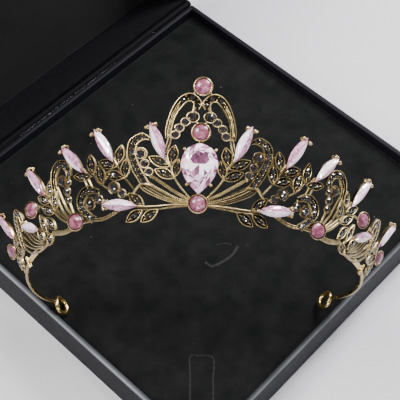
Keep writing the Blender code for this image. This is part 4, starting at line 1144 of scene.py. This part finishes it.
def build_box():
    verts, faces = tray_mesh(BOX_HEIGHT)
    piece("base_board", verts, faces, BOARD_WORN_AND_LIT, "box", "box_board", ("box_base",), 40.0, wear=rubbed_and_lit_edges())
    verts, faces = tray_mesh(LID_DEPTH - FIT_GAP)
    lid_wear = np.repeat([0.4, 0.1, 0.1, 0.3, 0.5, 0.3, 0.2, 0.1, 0.0, 0.0, 0.0], 20)
    piece("lid_board", on_lid(verts), faces, BOARD_LID_SHADED, "lid", "box_board", ("lid_shell",), 40.0,
          wear=lid_wear)
    build_hinge()
    verts, faces = pad_mesh(BOX_FLOOR + FIT_GAP, INSERT_TOP, 0.0022, 96)
    insert = piece("velvet_insert", verts, faces, VELVET, "box", "velvet", ("box_insert",), 60.0)
    slit("velvet_slit", ((-0.0217, -0.0262), (-0.0210, -0.0301), (-0.0161, -0.0320), (-0.0099, -0.0329),
                         (-0.0042, -0.0316)), 0.00040)
    slit("velvet_flap", ((-0.0058, -0.0292), (-0.0073, -0.0262), (-0.0110, -0.0238)), 0.00022)
    slit("velvet_tab", ((-0.0773, -0.0687), (-0.0690, -0.0609), (-0.0623, -0.0546), (-0.0596, -0.0566),
                        (-0.0556, -0.0624), (-0.0629, -0.0692), (-0.0703, -0.0760)), 0.00024)
    verts, faces = pad_mesh(BOX_FLOOR + FIT_GAP, BOX_FLOOR + LID_PAD, 0.0009, 48)
    lining = piece("lid_lining", on_lid(verts), faces, VELVET_LID_SHADED, "lid", "velvet", ("lid_pad",), 60.0)


def build_stage():
    count = 24
    line = np.linspace(-1.6, 1.6, count)
    xs, ys = np.meshgrid(line, line)
    verts = np.column_stack([xs.ravel(), ys.ravel(), np.full(count * count, -0.0001)])
    floor = mesh_object("floor", verts, net_faces(count))
    floor.data.materials.append(FLOOR)


# Where the photograph was taken from, found from the box's edges and the tiara's stones
CAMERA_AT = (-0.212143, -0.185113, 0.450600)
CAMERA_RIGHT = (0.68062772, -0.73219166, 0.02532388)
CAMERA_UP = (0.60287663, 0.57939006, 0.54849514)
CAMERA_BACK = (-0.41627596, -0.35805382, 0.83577018)
CAMERA_LENS = 94.14


def build_camera():
    data = bpy.data.cameras.new("camera")
    data.lens = CAMERA_LENS
    data.sensor_width = 36.0
    data.clip_start = 0.02
    data.clip_end = 20.0
    camera = bpy.data.objects.new("camera", data)
    bpy.context.scene.collection.objects.link(camera)
    columns = (CAMERA_RIGHT + (0.0,), CAMERA_UP + (0.0,), CAMERA_BACK + (0.0,), CAMERA_AT + (1.0,))
    camera.matrix_world = Matrix(columns).transposed()
    bpy.context.scene.camera = camera


LIGHTS = (  # name, place, width and depth, power, colour
    ("key_light", (-0.30, 0.22, 0.72), (0.22, 0.22), 8.0, (1.0, 0.98, 0.95)),
    ("side_light", (0.55, -0.05, 0.50), (0.14, 0.30), 11.0, (0.99, 0.99, 1.0)),
    ("front_light", (-0.50, -0.50, 0.55), (0.30, 0.12), 4.2, (1.0, 1.0, 1.0)),
    ("top_light", (0.05, -0.10, 0.85), (0.10, 0.10), 3.0, (1.0, 1.0, 1.0)),
)
LIT_POINT = Vector((0.0, 0.0, 0.03))


def build_lights():
    world = bpy.data.worlds.new("studio")
    bpy.context.scene.world = world
    world.use_nodes = True
    back = world.node_tree.nodes["Background"]
    back.inputs["Color"].default_value = (0.90, 0.93, 1.0, 1.0)
    back.inputs["Strength"].default_value = 0.07
    for name, at, size, power, colour in LIGHTS:
        data = bpy.data.lights.new(name, "AREA")
        data.shape = "RECTANGLE"
        data.size, data.size_y = size
        data.energy = power
        data.color = colour
        lamp = bpy.data.objects.new(name, data)
        bpy.context.scene.collection.objects.link(lamp)
        aim = (LIT_POINT - Vector(at)).normalized()
        lamp.matrix_world = Matrix.Translation(Vector(at)) @ aim.to_track_quat("-Z", "Y").to_matrix().to_4x4()


leaf_metal, leaf_stones = build_leaves()
ribbon_metal, ribbon_stones = build_ribbons()
small_metal, small_stones = build_small_settings()
heap_piece("leaf_metal", leaf_metal, GOLD, stands_for=("tiara_metal",))
heap_piece("ribbon_metal", ribbon_metal, GOLD)
heap_piece("rings", small_metal, GOLD_SMOOTH)
heap_piece("rope_wires", build_wires(), GOLD_ROPE)
heap_piece("settings", build_settings(), GOLD_SMOOTH)
heap_piece("end_wires", build_ends(), GOLD_END)
for name, heap in (("leaf_stones", leaf_stones), ("ribbon_stones", ribbon_stones),
                   ("ring_stones", small_stones)):
    heap_piece(name, heap, BLACK, "black_glass", sharp=None)
build_stones()
build_box()
build_stage()
build_camera()
build_lights()
